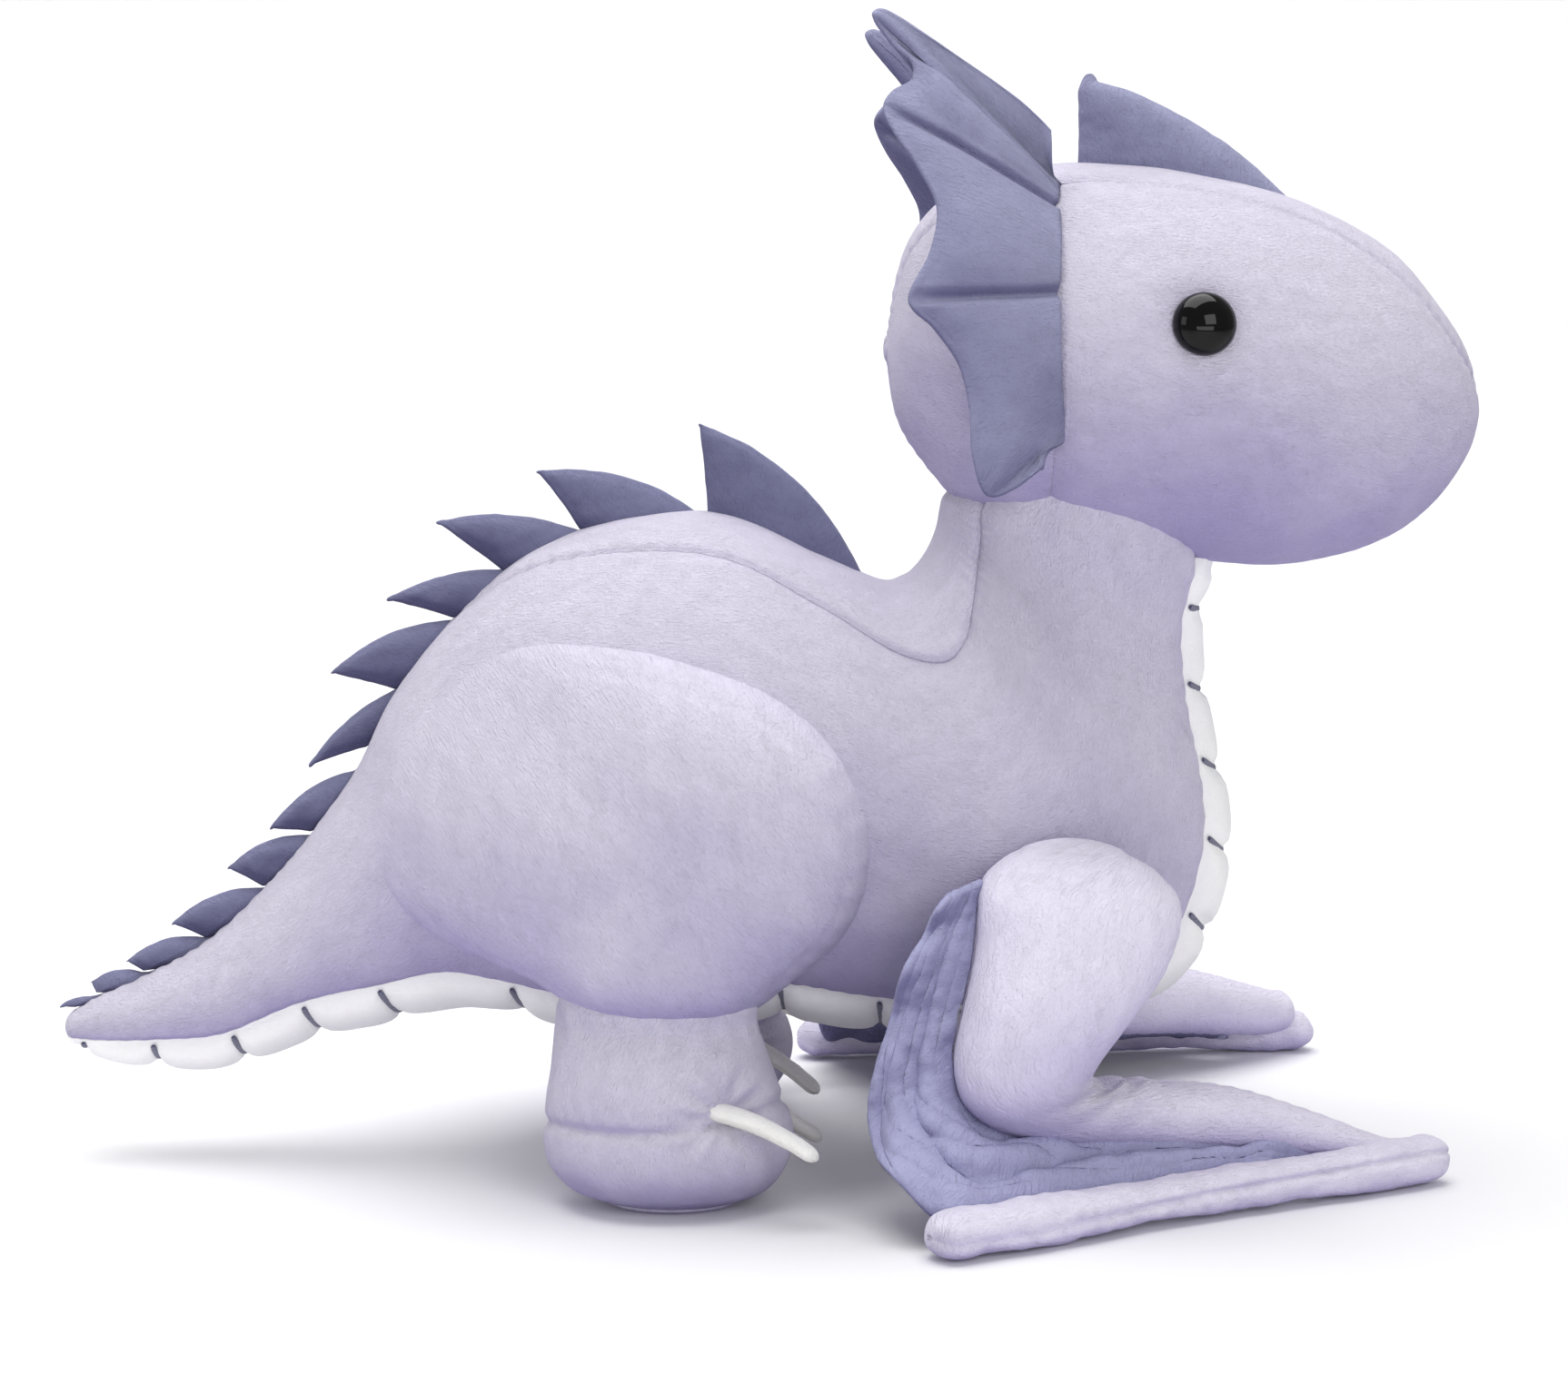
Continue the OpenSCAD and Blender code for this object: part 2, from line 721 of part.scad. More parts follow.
module membrane(side) {
    steps = 5;
    a = arm_line(side);
    b = free_line(side);
    n = len(a);
    function line(l, s) = let (i = min(n - 2, floor(s)))
        spline(l[max(0, i - 1)], l[i], l[i + 1], l[min(n - 1, i + 2)], s - i);
    function spot(s, k) = line(a, s) * (1 - k) + line(b, s) * k
        + [-0.3, -0.4, 0.85] * 1.6 * min(1, s / 2) * sin(k * 180) * sin(s * 260 + k * 90);
    // the sheet stands up behind the arm and lies flat in front of it
    function lift(s) = let (f = max(0, min(1, (s - 3) / 4))) [-0.4 * (1 - f), -0.92 * (1 - f), f];
    function row(s, off) = [for (i = [0:steps]) spot(s, i / steps) + lift(s) * off];
    color(slate)
    mirror_wing(side)
    difference() {
        sheet_solid([for (s = ramp(0, n - 1, 26)) row(s, -membrane_t / 2)],
            [for (s = ramp(0, n - 1, 26)) row(s, membrane_t / 2)]);
        finger_bar(side, move_gap);
    }
}

// puts the origin on the floor under the middle of the dragon
module place() {
    translate([shift_x, shift_y, 0])
    children();
}

// ---- output ------------------------------------------------------------------------------

place() body_side(-1);  // body_side_right
place() body_side(1);  // body_side_left
place() back_gusset();
place() belly_panel();
place() belly_stitches();
place() body_stuffing();
place() tail_side(-1);  // tail_side_right
place() tail_side(1);  // tail_side_left
place() tail_underside();
place() tail_stitches();
place() tail_stuffing();
place() spine(1);  // spine_1
place() spine(2);  // spine_2
place() spine(3);  // spine_3
place() spine(4);  // spine_4
place() spine(5);  // spine_5
place() spine(6);  // spine_6
place() spine(7);  // spine_7
place() spine(8);  // spine_8
place() spine(9);  // spine_9
place() spine(10);  // spine_10
place() spine(11);  // spine_11
place() spine(12);  // spine_12
place() face_side(-1);  // face_side_right
place() face_side(1);  // face_side_left
place() head_gusset();
place() head_back(-1);  // head_back_right
place() head_back(1);  // head_back_left
place() head_stuffing();
place() crest();
place() eye(-1);  // eye_right
place() eye(1);  // eye_left
place() eye_washer(-1);  // eye_washer_right
place() eye_washer(1);  // eye_washer_left
place() ear(-1);  // ear_right
place() ear(1);  // ear_left
place() thigh(-1);  // thigh_right
place() thigh(1);  // thigh_left
place() thigh_stuffing(-1);  // thigh_stuffing_right
place() thigh_stuffing(1);  // thigh_stuffing_left
place() foot(-1);  // foot_right
place() foot(1);  // foot_left
place() foot_stuffing(-1);  // foot_stuffing_right
place() foot_stuffing(1);  // foot_stuffing_left
place() sole(-1);  // sole_right
place() sole(1);  // sole_left
place() claw(-1, 0);  // claw_outer_right
place() claw(1, 0);  // claw_outer_left
place() claw(-1, 1);  // claw_inner_right
place() claw(1, 1);  // claw_inner_left
place() arm(-1);  // arm_right
place() arm(1);  // arm_left
place() finger(-1);  // finger_right
place() finger(1);  // finger_left
place() membrane(-1);  // membrane_right
place() membrane(1);  // membrane_left
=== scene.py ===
"""Looks of the plush winged dragon: fabric shells, quilting, fins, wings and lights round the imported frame.

Shapes are worked out in millimetres in the design's own coordinates (x forward, -y the toy's
right side) and moved into the row frame, in metres, when a mesh is made.
"""
import math

import bmesh
import bpy
import numpy as np
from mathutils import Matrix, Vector
from mathutils.bvhtree import BVHTree


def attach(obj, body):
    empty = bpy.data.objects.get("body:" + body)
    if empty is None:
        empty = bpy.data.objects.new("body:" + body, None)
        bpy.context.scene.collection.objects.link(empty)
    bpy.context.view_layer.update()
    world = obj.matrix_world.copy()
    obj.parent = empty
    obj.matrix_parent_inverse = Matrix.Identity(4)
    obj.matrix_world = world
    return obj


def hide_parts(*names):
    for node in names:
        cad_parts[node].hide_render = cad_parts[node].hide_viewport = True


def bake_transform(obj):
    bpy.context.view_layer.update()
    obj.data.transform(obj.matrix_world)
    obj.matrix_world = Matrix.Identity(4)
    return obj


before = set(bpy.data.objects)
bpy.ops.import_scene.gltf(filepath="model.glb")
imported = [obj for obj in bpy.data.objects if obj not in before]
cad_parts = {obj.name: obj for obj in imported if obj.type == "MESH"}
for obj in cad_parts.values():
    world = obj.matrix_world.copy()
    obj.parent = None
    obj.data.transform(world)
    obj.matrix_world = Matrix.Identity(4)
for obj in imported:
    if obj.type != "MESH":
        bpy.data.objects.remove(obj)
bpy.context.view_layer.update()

MM = 0.001
SHIFT = np.array([7.5, -9.9, 0.0])

# ---- driving stations: [top x, top z, bottom x, bottom z, half width, gusset half width, belly half width]
BODY = np.array([
    [-214, 44.5, -213.5, 32.8, 5.5, 0.05, 4.2],
    [-207, 49, -205, 31, 9, 0.05, 7],
    [-192, 56, -189, 29, 13, 0.05, 11],
    [-174, 66, -165, 30, 18, 0.05, 15],
    [-156, 82, -141, 38.5, 23, 0.05, 19],
    [-142, 98, -118, 43, 28, 0.05, 22],
    [-128, 118, -97, 48, 34, 0.05, 24],
    [-116, 141, -80, 46, 42, 0.05, 26],
    [-98, 163, -62, 42, 50, 3, 28],
    [-74, 183, -42, 40, 57, 16, 30],
    [-45, 193, -22, 42, 60, 25, 32],
    [-16, 193, 0, 45, 59, 29, 32],
    [10, 182, 26, 41, 56, 31, 31],
    [28, 174, 62, 38, 52, 34, 29],
    [35, 175, 98, 44, 49, 36, 27],
    [39, 178, 121, 61, 47, 34, 25],
    [42.5, 183, 130.5, 86, 45, 30, 24],
    [45, 189, 130, 110, 42.5, 27, 22],
    [46, 194, 124.5, 137, 40, 26, 20],
    [46.5, 199, 122, 159, 38.5, 25, 18],
    [47, 203, 126.5, 177.5, 38, 24, 17],
], float)
HEAD = np.array([
    [30.2, 246, 30.2, 238, 6, 4, 0.05],
    [33, 264, 33, 222, 24, 8, 0.05],
    [39, 278, 39, 211, 36, 15, 0.05],
    [50, 288.5, 50, 198, 46, 19, 0.05],
    [64, 293.5, 64, 190, 52, 21, 0.05],
    [76, 295.5, 76, 186.5, 54.5, 22, 0.05],
    [88, 296, 88, 183.5, 56, 22, 0.05],
    [106, 295, 106, 181, 56.5, 22, 0.05],
    [126, 292, 126, 179, 55.5, 22, 0.05],
    [146, 287, 146, 178, 52, 22, 0.05],
    [164, 279.5, 164, 181, 46.5, 22, 0.05],
    [180, 269, 180, 187.5, 39, 22, 0.05],
    [192, 255, 192, 197, 30, 20, 0.05],
    [200, 241.5, 200, 209, 18, 13, 0.05],
    [203.5, 230, 203.5, 219, 7, 5, 0.05],
], float)
EAR_CUT = 5
# back spines, neck to tail tip: front station, rear station, tip x, tip z
SPINES = [
    (12.6, 10.8, -25, 220), (10.6, 9.52, -73, 206), (9.4, 8.68, -103, 191), (8.6, 8.02, -118, 168),
    (7.9, 7.05, -135, 146), (6.95, 6.3, -142, 118), (5.88, 5.05, -154, 99), (4.9, 4.0, -167, 87),
    (3.9, 3.03, -184, 70), (2.93, 1.98, -198, 58.5), (1.86, 1.0, -209, 52), (0.72, 0.1, -218.5, 44.5),
]
BARS = [0.45, 2.05, 3.13, 4.08, 5.14, 7.2, 8.4, 9.75, 11, 12.1, 12.8, 13.5, 14.25, 15.35, 16.3, 17.3, 18.2, 19.3]
# arm, right side: outer x, y, z, inner x, y, z, half thickness, share of the elbow turn
ARM = np.array([
    [66, -60.5, 103, 97, -60.5, 102, 8.5, 0],
    [59, -62, 99, 105.5, -62, 97, 13, 0],
    [54, -65, 92, 112, -65, 88, 17, 0],
    [53, -68, 78, 108, -68, 71, 19.5, 0],
    [50, -71, 62, 97, -71, 55, 20, 0],
    [47, -72, 47, 90, -70, 45, 19, 0],
    [49, -72, 34, 88, -67, 40, 17.5, 0.25],
    [58, -70, 25, 91, -63, 38, 15, 0.55],
    [74, -65, 19.5, 98, -59, 38, 12.5, 0.85],
    [96, -58, 16, 108, -54, 36, 10.5, 1],
    [126, -49, 13, 131, -47, 31.5, 8.5, 1],
    [150, -43, 10, 154, -42, 23, 6.5, 1],
    [170, -39, 7, 172, -38.5, 15.5, 4.5, 1],
    [179, -37, 7, 180, -37, 13, 3, 1],
], float)
ELBOW = (62, -68)
WRIST = (187, -36, 7.2)
CORNER = (46, -114, 7.2)
LEFT_YAW, LEFT_OPEN = 45, 12
# ear outline, right side: x, y, z, share of the root seam it belongs to, 1 at a stitched ray
EAR = np.array([
    [76, -26, 304, 0], [69, -30, 311, 0.01], [60, -33, 317.5, 0.02], [50, -36, 324, 0.03], [40, -38.5, 330.5, 0.04],
    [32, -40, 335.5, 0.05], [27, -41, 337.5, 0.06], [24.5, -41.5, 335.5, 0.07], [28.5, -42, 330, 0.08],
    [35, -42.5, 323.5, 0.09], [35.5, -43.5, 318, 0.11], [30, -46, 314.5, 0.13],
    [27.5, -48.5, 309.5, 0.16], [31, -53, 302, 0.22], [37, -56, 293, 0.29], [42, -59, 282, 0.37],
    [40, -62, 270, 0.43], [34, -65, 257, 0.5], [41, -65, 249, 0.58], [48, -65, 239, 0.67],
    [51, -65, 227, 0.76], [52, -65, 214, 0.84], [56, -64, 203, 0.9], [64, -62, 205, 0.95],
    [71, -58, 210, 1],
], float)
EAR_RAYS = (12, 17)
EAR_ROOT = (66, -28)
THIGH = (-36, 98)
# haunch outline round the hip, seen from the side: angle, radius
HAUNCH = [(-60, 54), (-40, 53), (-24, 57.5), (-12, 59.5), (0, 61), (30, 60.5), (50, 58.5), (80, 57), (105, 63), (130, 76),
          (155, 88), (175, 90), (195, 76), (210, 61), (222, 52), (236, 50), (255, 48.5), (270, 48.5), (285, 50), (299, 54)]
# foot: z, half length, half width, x of the middle
FOOT = np.array([
    [2.2, 21, 14.5, -32], [5.5, 28.5, 20.5, -32.5], [12, 33.8, 25.2, -33], [20, 35.8, 26.5, -33],
    [29, 34.8, 26, -33.5], [38, 32.2, 23.8, -34.5], [46, 30.5, 21, -35.5], [52, 29.6, 19, -36],
    [58, 29, 17.5, -36], [64, 25.5, 14, -36], [68, 17, 9, -36],
], float)
FOOT_Y = 58
CLAWS = [((-17, 77, 31), 25, 14), ((-14, 40, 25), -25, 22)]
CLAW_LENGTH = 29
EYE = (117, -53.2, 250)
EYE_TURN = (14, 4)
EYE_R, EYE_H = 9, 6.5
SIDES = (("right", -1), ("left", 1))


# ---- curves, noise and grids ------------------------------------------------------------

def rows(st, s):
    """Catmull-Rom value of a station table at fractional stations s."""
    s = np.atleast_1d(np.asarray(s, float))
    n = len(st) - 1
    i = np.clip(np.floor(s).astype(int), 0, n - 1)
    f = (s - i)[:, None]
    a, b, c, d = st[np.maximum(0, i - 1)], st[i], st[i + 1], st[np.minimum(n, i + 2)]
    return b + f * (c - a + f * (2 * a - 5 * b + 4 * c - d + f * (3 * (b - c) + d - a))) / 2


def tube(st, s, t):
    """Points of a station tube; s is one station a row, t the angles in degrees (90 = top)."""
    q = rows(st, s)
    t = np.radians(np.broadcast_to(t, (len(q),) + np.shape(t)[-1:]))
    mid = (q[:, 0:2] + q[:, 2:4]) / 2
    up = (q[:, 0:2] - q[:, 2:4]) / 2
    x = mid[:, :1] + up[:, :1] * np.sin(t)
    z = mid[:, 1:] + up[:, 1:] * np.sin(t)
    return np.stack([x, q[:, 4:5] * np.cos(t), z], -1)


def reach(w0, w):
    return np.degrees(np.arcsin(np.minimum(0.97, w0 / w)))


def noise(p, size, seed=0):
    """Smooth value noise in -1 to 1 at points p, in mm."""
    q = np.asarray(p, float) / size + 11.3 * seed
    i = np.floor(q)
    f = q - i
    f = f * f * (3 - 2 * f)
    out = 0
    for k in range(8):
        o = np.array([k & 1, (k >> 1) & 1, k >> 2])
        h = np.sin((i + o) @ np.array([127.1, 311.7, 74.7])) * 43758.5453
        w = np.prod(np.where(o == 1, f, 1 - f), axis=-1)
        out = out + w * (h - np.floor(h))
    return out * 2 - 1


def normals(p, wrap=False):
    """Unit normals of a grid of points; a wrapped grid joins its last column to its first."""
    du = np.gradient(p, axis=0)
    if wrap:
        dv = (np.roll(p, -1, 1) - np.roll(p, 1, 1)) / 2
    else:
        dv = np.gradient(p, axis=1)
    n = np.cross(du, dv)
    return n / np.maximum(np.linalg.norm(n, axis=-1, keepdims=True), 1e-9)


def outward(n, p, centre):
    """Turns a whole grid of normals to face away from centre."""
    return n if np.sum(n * (p - centre)) > 0 else -n


def travel(p, axis):
    """Distance along a grid from its first row or column, in mm."""
    d = np.linalg.norm(np.diff(p, axis=axis), axis=-1)
    zero = np.zeros_like(np.take(d, [0], axis=axis))
    return np.concatenate([zero, np.cumsum(d, axis=axis)], axis=axis)


def even(f, a, b, step, fine=600):
    """Values from a to b that are about step mm apart on the curve f."""
    s = np.linspace(a, b, fine)
    d = np.concatenate([[0], np.cumsum(np.linalg.norm(np.diff(f(s), axis=0), axis=1))])
    return np.interp(np.linspace(0, d[-1], max(3, int(d[-1] / step) + 1)), d, s)


def spread(total, step, edges=(0, 0.5, 1.1, 1.8, 2.7, 3.8, 5.2, 7)):
    """Column places across a panel, 0 to 1: crowded near both seams, even between them."""
    e = np.array(edges) * min(1.0, total / (4.5 * edges[-1]))
    n = max(3, int((total - 2 * e[-1]) / step))
    inner = np.linspace(e[-1], total - e[-1], n + 1)[1:-1]
    return np.concatenate([e, inner, total - e[::-1]]) / total


def pucker(along, seed=0.0, pitch=6.4):
    """Gathers along a seam, -1 to 1, uneven in spacing and strength."""
    phase = 2 * np.pi * along / pitch + 2.3 * np.sin(along / 17 + seed) + 1.1 * np.sin(along / 7.3 + 2 * seed)
    return np.sin(phase) * (0.62 + 0.38 * np.sin(along / 29 + 3 * seed))


def seam(d, along, depth=1.5, gather=0.32, seed=0.0):
    """Offset of the fabric near a seam; d is the distance from it and along the place on it."""
    d = np.maximum(d, 0)
    sharp = -depth * np.exp(-(d / 1.5) ** 2)
    soft = -0.55 * depth * np.exp(-(d / 6) ** 2)
    g = gather * pucker(along, seed) * np.exp(-(d / 6) ** 2) * (1 - 0.6 * np.exp(-(d / 1.2) ** 2))
    return sharp + soft + g


def lumps(p, size=1.0):
    """Unevenness of stuffing under plush, in mm."""
    return size * (0.55 * noise(p, 34, 1) + 0.3 * noise(p, 15, 2) + 0.1 * noise(p, 6, 3))


# ---- meshes ------------------------------------------------------------------------------

def signed_volume(mesh):
    mesh.calc_loop_triangles()
    co = np.empty(len(mesh.vertices) * 3, np.float32)
    mesh.vertices.foreach_get("co", co)
    tri = np.empty(len(mesh.loop_triangles) * 3, np.int32)
    mesh.loop_triangles.foreach_get("vertices", tri)
    a, b, c = co.reshape(-1, 3)[tri.reshape(-1, 3)].transpose(1, 0, 2).astype(float)
    return float(np.sum(a * np.cross(b, c)))


def make_object(name, verts, faces, uvs, material, body=None):
    mesh = bpy.data.meshes.new(name)
    mesh.from_pydata(((np.asarray(verts) + SHIFT) * MM).tolist(), [], faces)
    mesh.polygons.foreach_set("use_smooth", [True] * len(mesh.polygons))
    layer = mesh.uv_layers.new(name="Pile")
    layer.data.foreach_set("uv", np.asarray(uvs, np.float32).ravel())
    mesh.validate()
    work = bmesh.new()
    work.from_mesh(mesh)
    bmesh.ops.recalc_face_normals(work, faces=work.faces)
    work.to_mesh(mesh)
    work.free()
    mesh.update()
    if signed_volume(mesh) < 0:
        mesh.flip_normals()
    mesh.materials.append(material)
    obj = bpy.data.objects.new(name, mesh)
    bpy.context.scene.collection.objects.link(obj)
    if body:
        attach(obj, body)
    return obj


def grid_faces(r, c, wrap, flip, start=0):
    cols = c if wrap else c - 1
    i, j = np.meshgrid(np.arange(r - 1), np.arange(cols), indexing="ij")
    a = i * c + j
    b = i * c + (j + 1) % c
    quad = np.stack([a, b, b + c, a + c], -1).reshape(-1, 4) + start
    return quad[:, ::-1] if flip else quad


def grid_uvs(p, wrap, flip, turn=0.0):
    """Face-corner UVs in metres: U along the rows' direction of travel, V across."""
    r, c = p.shape[:2]
    u = travel(p, 0).mean(1, keepdims=True) * np.ones((1, c)) * MM
    v = travel(p, 1)
    v = (v - v[:, c // 2: c // 2 + 1]) * MM
    if wrap:
        v = np.concatenate([v, v[:, -1:] + np.linalg.norm(p[:, :1] - p[:, -1:], axis=-1) * MM], 1)
        u = np.concatenate([u, u[:, :1]], 1)
    if turn:
        k, m = math.cos(turn), math.sin(turn)
        u, v = u * k - v * m, u * m + v * k
    uv = np.stack([u, v], -1)
    quad = np.stack([uv[:-1, :-1], uv[:-1, 1:], uv[1:, 1:], uv[1:, :-1]], 2)
    quad = quad.reshape(-1, 4, 2)
    return (quad[:, ::-1] if flip else quad).reshape(-1, 2)


def loft(name, p, material, body, ends=(True, True), turn=0.0, flat=None):
    """Closed skin through rings of points, with a fan at each end; flat gives the two UV directions."""
    r, c = p.shape[:2]
    n = normals(p, True)
    flip = np.sum(n * (p - p.mean(1, keepdims=True))) < 0
    # cross(du, dv) outward means corners a, a + row, ... run the other way round
    faces = grid_faces(r, c, True, not flip).tolist()
    uvs = grid_uvs(p, True, not flip, turn).tolist()
    verts = p.reshape(-1, 3).tolist()
    for on, row, k in ((ends[0], 0, 0), (ends[1], r - 1, 1)):
        if not on:
            continue
        hub = len(verts)
        verts.append(p[row].mean(0).tolist())
        for j in range(c):
            tri = [hub, row * c + (j + 1) % c, row * c + j]
            if (k == 1) != flip:
                tri = tri[::-1]
            faces.append(tri)
            uvs += [[0, 0], [0.001, 0], [0, 0.001]]
    if flat is not None:
        corner = np.array(verts)[[v for face in faces for v in face]]
        uvs = corner @ np.array(flat, float).T * MM
    return make_object(name, verts, faces, uvs, material, body)


def shell(name, p, n, thick, material, body, turn=0.0):
    """Closed fabric panel: grid p with outward normals n, and an inner layer thick mm below."""
    r, c = p.shape[:2]
    inner = p - n * thick
    flip = np.sum(np.cross(np.gradient(p, axis=0), np.gradient(p, axis=1)) * n) < 0
    top = grid_faces(r, c, False, not flip)
    low = grid_faces(r, c, False, flip, r * c)
    k = r * c
    ring = ([(0, j) for j in range(c - 1)] + [(i, c - 1) for i in range(r - 1)]
            + [(r - 1, j) for j in range(c - 1, 0, -1)] + [(i, 0) for i in range(r - 1, 0, -1)])
    ids = [i * c + j for i, j in ring]
    rim = []
    for a, b in zip(ids, ids[1:] + ids[:1]):
        quad = [a, b, b + k, a + k]
        rim.append(quad if flip else quad[::-1])
    faces = top.tolist() + low.tolist() + rim
    uv = np.concatenate([grid_uvs(p, False, not flip, turn), grid_uvs(p, False, flip, turn),
                         np.zeros((4 * len(rim), 2))])
    return make_object(name, np.concatenate([p.reshape(-1, 3), inner.reshape(-1, 3)]), faces, uv,
                       material, body)


# ---- materials ---------------------------------------------------------------------------

def node(tree, kind, **values):
    made = tree.nodes.new(kind)
    for key, value in values.items():
        if key in made.inputs:
            made.inputs[key].default_value = value
        else:
            setattr(made, key, value)
    return made


def srgb(r, g, b):
    def line(v):
        v /= 255
        return v / 12.92 if v <= 0.04045 else ((v + 0.055) / 1.055) ** 2.4
    return (line(r), line(g), line(b), 1.0)


def ramp_of(tree, factor, stops):
    made = tree.nodes.new("ShaderNodeValToRGB")
    while len(made.color_ramp.elements) < len(stops):
        made.color_ramp.elements.new(0.5)
    for element, (place, colour) in zip(made.color_ramp.elements, stops):
        element.position = place
        element.color = colour
    tree.links.new(factor, made.inputs["Fac"])
    return made


def mix_value(tree, a, b, amount):
    """a + b * amount as a plain value."""
    made = tree.nodes.new("ShaderNodeMath")
    made.operation = "MULTIPLY_ADD"
    tree.links.new(b, made.inputs[0])
    made.inputs[1].default_value = amount
    tree.links.new(a, made.inputs[2])
    return made.outputs[0]


def pile_material(name, deep, mid, light, streak=(420, 1650), sheen=0.3, bump=1.0, mottle=0.32, pile=0.16,
                  tuft_size=230.0):
    """Short cut pile: streaky fibres, brushed patches, painted light on upward-facing surfaces and painted shade,
    deeper in colour, on downward-facing ones.
    """
    material = bpy.data.materials.new(name)
    material.use_nodes = True
    tree = material.node_tree
    tree.nodes.clear()
    links = tree.links
    place = tree.nodes.new("ShaderNodeTexCoord")
    stretch = node(tree, "ShaderNodeMapping", Scale=(streak[0], streak[1], 1))
    links.new(place.outputs["UV"], stretch.inputs["Vector"])
    warp = node(tree, "ShaderNodeTexNoise", Scale=120.0, Detail=1.0)
    links.new(place.outputs["Object"], warp.inputs["Vector"])
    bend = node(tree, "ShaderNodeVectorMath", operation="MULTIPLY_ADD")
    links.new(warp.outputs["Color"], bend.inputs[0])
    bend.inputs[1].default_value = (1.5, 3.6, 0)
    links.new(stretch.outputs["Vector"], bend.inputs[2])
    fibre = node(tree, "ShaderNodeTexNoise", Scale=1.0, Detail=3.0, Roughness=0.62)
    links.new(bend.outputs[0], fibre.inputs["Vector"])
    grain = node(tree, "ShaderNodeTexNoise", Scale=1300.0, Detail=2.0, Roughness=0.6)
    links.new(place.outputs["Object"], grain.inputs["Vector"])
    tuft = node(tree, "ShaderNodeTexNoise", Scale=tuft_size, Detail=2.0, Roughness=0.5)
    links.new(place.outputs["Object"], tuft.inputs["Vector"])
    brush = node(tree, "ShaderNodeTexNoise", Scale=30.0, Detail=2.0, Roughness=0.5, Distortion=0.5)
    links.new(place.outputs["Object"], brush.inputs["Vector"])
    tone = mix_value(tree, fibre.outputs["Fac"], tuft.outputs["Fac"], mottle * 0.6)
    tone = mix_value(tree, tone, brush.outputs["Fac"], mottle)
    tone = mix_value(tree, tone, grain.outputs["Fac"], 0.35)
    shade = node(tree, "ShaderNodeMapRange")
    links.new(tone, shade.inputs["Value"])
    for key, value in (("From Min", 0.3), ("From Max", 0.7), ("To Min", 1 - pile), ("To Max", 1 + pile)):
        shade.inputs[key].default_value = value
    # painted light and shade: the normal's Z, mixed with brushed patches, picks the colour from deep (painted shade,
    # facing down) through mid to light (painted light, facing up)
    parts = tree.nodes.new("ShaderNodeSeparateXYZ")
    links.new(place.outputs["Normal"], parts.inputs["Vector"])
    up = mix_value(tree, parts.outputs["Z"], brush.outputs["Fac"], 0.7)
    level = node(tree, "ShaderNodeMapRange", interpolation_type="SMOOTHSTEP")
    links.new(up, level.inputs["Value"])
    level.inputs["From Min"].default_value = -0.95
    level.inputs["From Max"].default_value = 1.0
    colour = ramp_of(tree, level.outputs[0], [(0.0, deep), (0.5, mid), (1.0, light)])
    scaled = node(tree, "ShaderNodeVectorMath", operation="SCALE")
    links.new(colour.outputs["Color"], scaled.inputs[0])
    links.new(shade.outputs[0], scaled.inputs["Scale"])
    height = mix_value(tree, fibre.outputs["Fac"], grain.outputs["Fac"], 0.45)
    height = mix_value(tree, height, tuft.outputs["Fac"], 0.35)
    relief = node(tree, "ShaderNodeBump", Strength=bump, Distance=0.0013)
    links.new(height, relief.inputs["Height"])
    skin = node(tree, "ShaderNodeBsdfPrincipled", Roughness=0.95)
    skin.inputs["Specular IOR Level"].default_value = 0.12
    skin.inputs["Sheen Weight"].default_value = sheen
    skin.inputs["Sheen Roughness"].default_value = 0.45
    skin.inputs["Sheen Tint"].default_value = [min(1, 0.3 + 0.8 * c) for c in light[:3]] + [1]
    links.new(scaled.outputs["Vector"], skin.inputs["Base Color"])
    links.new(relief.outputs["Normal"], skin.inputs["Normal"])
    out = tree.nodes.new("ShaderNodeOutputMaterial")
    links.new(skin.outputs[0], out.inputs["Surface"])
    return material


def thread_material(name, deep, light):
    """Satin-stitched embroidery thread: fine slanted strands with a low gloss."""
    material = bpy.data.materials.new(name)
    material.use_nodes = True
    tree = material.node_tree
    tree.nodes.clear()
    place = tree.nodes.new("ShaderNodeTexCoord")
    slant = node(tree, "ShaderNodeMapping", Rotation=(0, 0, 0.25))
    tree.links.new(place.outputs["UV"], slant.inputs["Vector"])
    strand = node(tree, "ShaderNodeTexWave", Scale=900.0, Distortion=1.2, Detail=1.0)
    tree.links.new(slant.outputs["Vector"], strand.inputs["Vector"])
    colour = ramp_of(tree, strand.outputs["Fac"], [(0.1, deep), (0.8, light)])
    relief = node(tree, "ShaderNodeBump", Strength=0.7, Distance=0.0003)
    tree.links.new(strand.outputs["Fac"], relief.inputs["Height"])
    skin = node(tree, "ShaderNodeBsdfPrincipled", Roughness=0.55)
    skin.inputs["Sheen Weight"].default_value = 0.3
    tree.links.new(colour.outputs["Color"], skin.inputs["Base Color"])
    tree.links.new(relief.outputs["Normal"], skin.inputs["Normal"])
    out = tree.nodes.new("ShaderNodeOutputMaterial")
    tree.links.new(skin.outputs[0], out.inputs["Surface"])
    return material


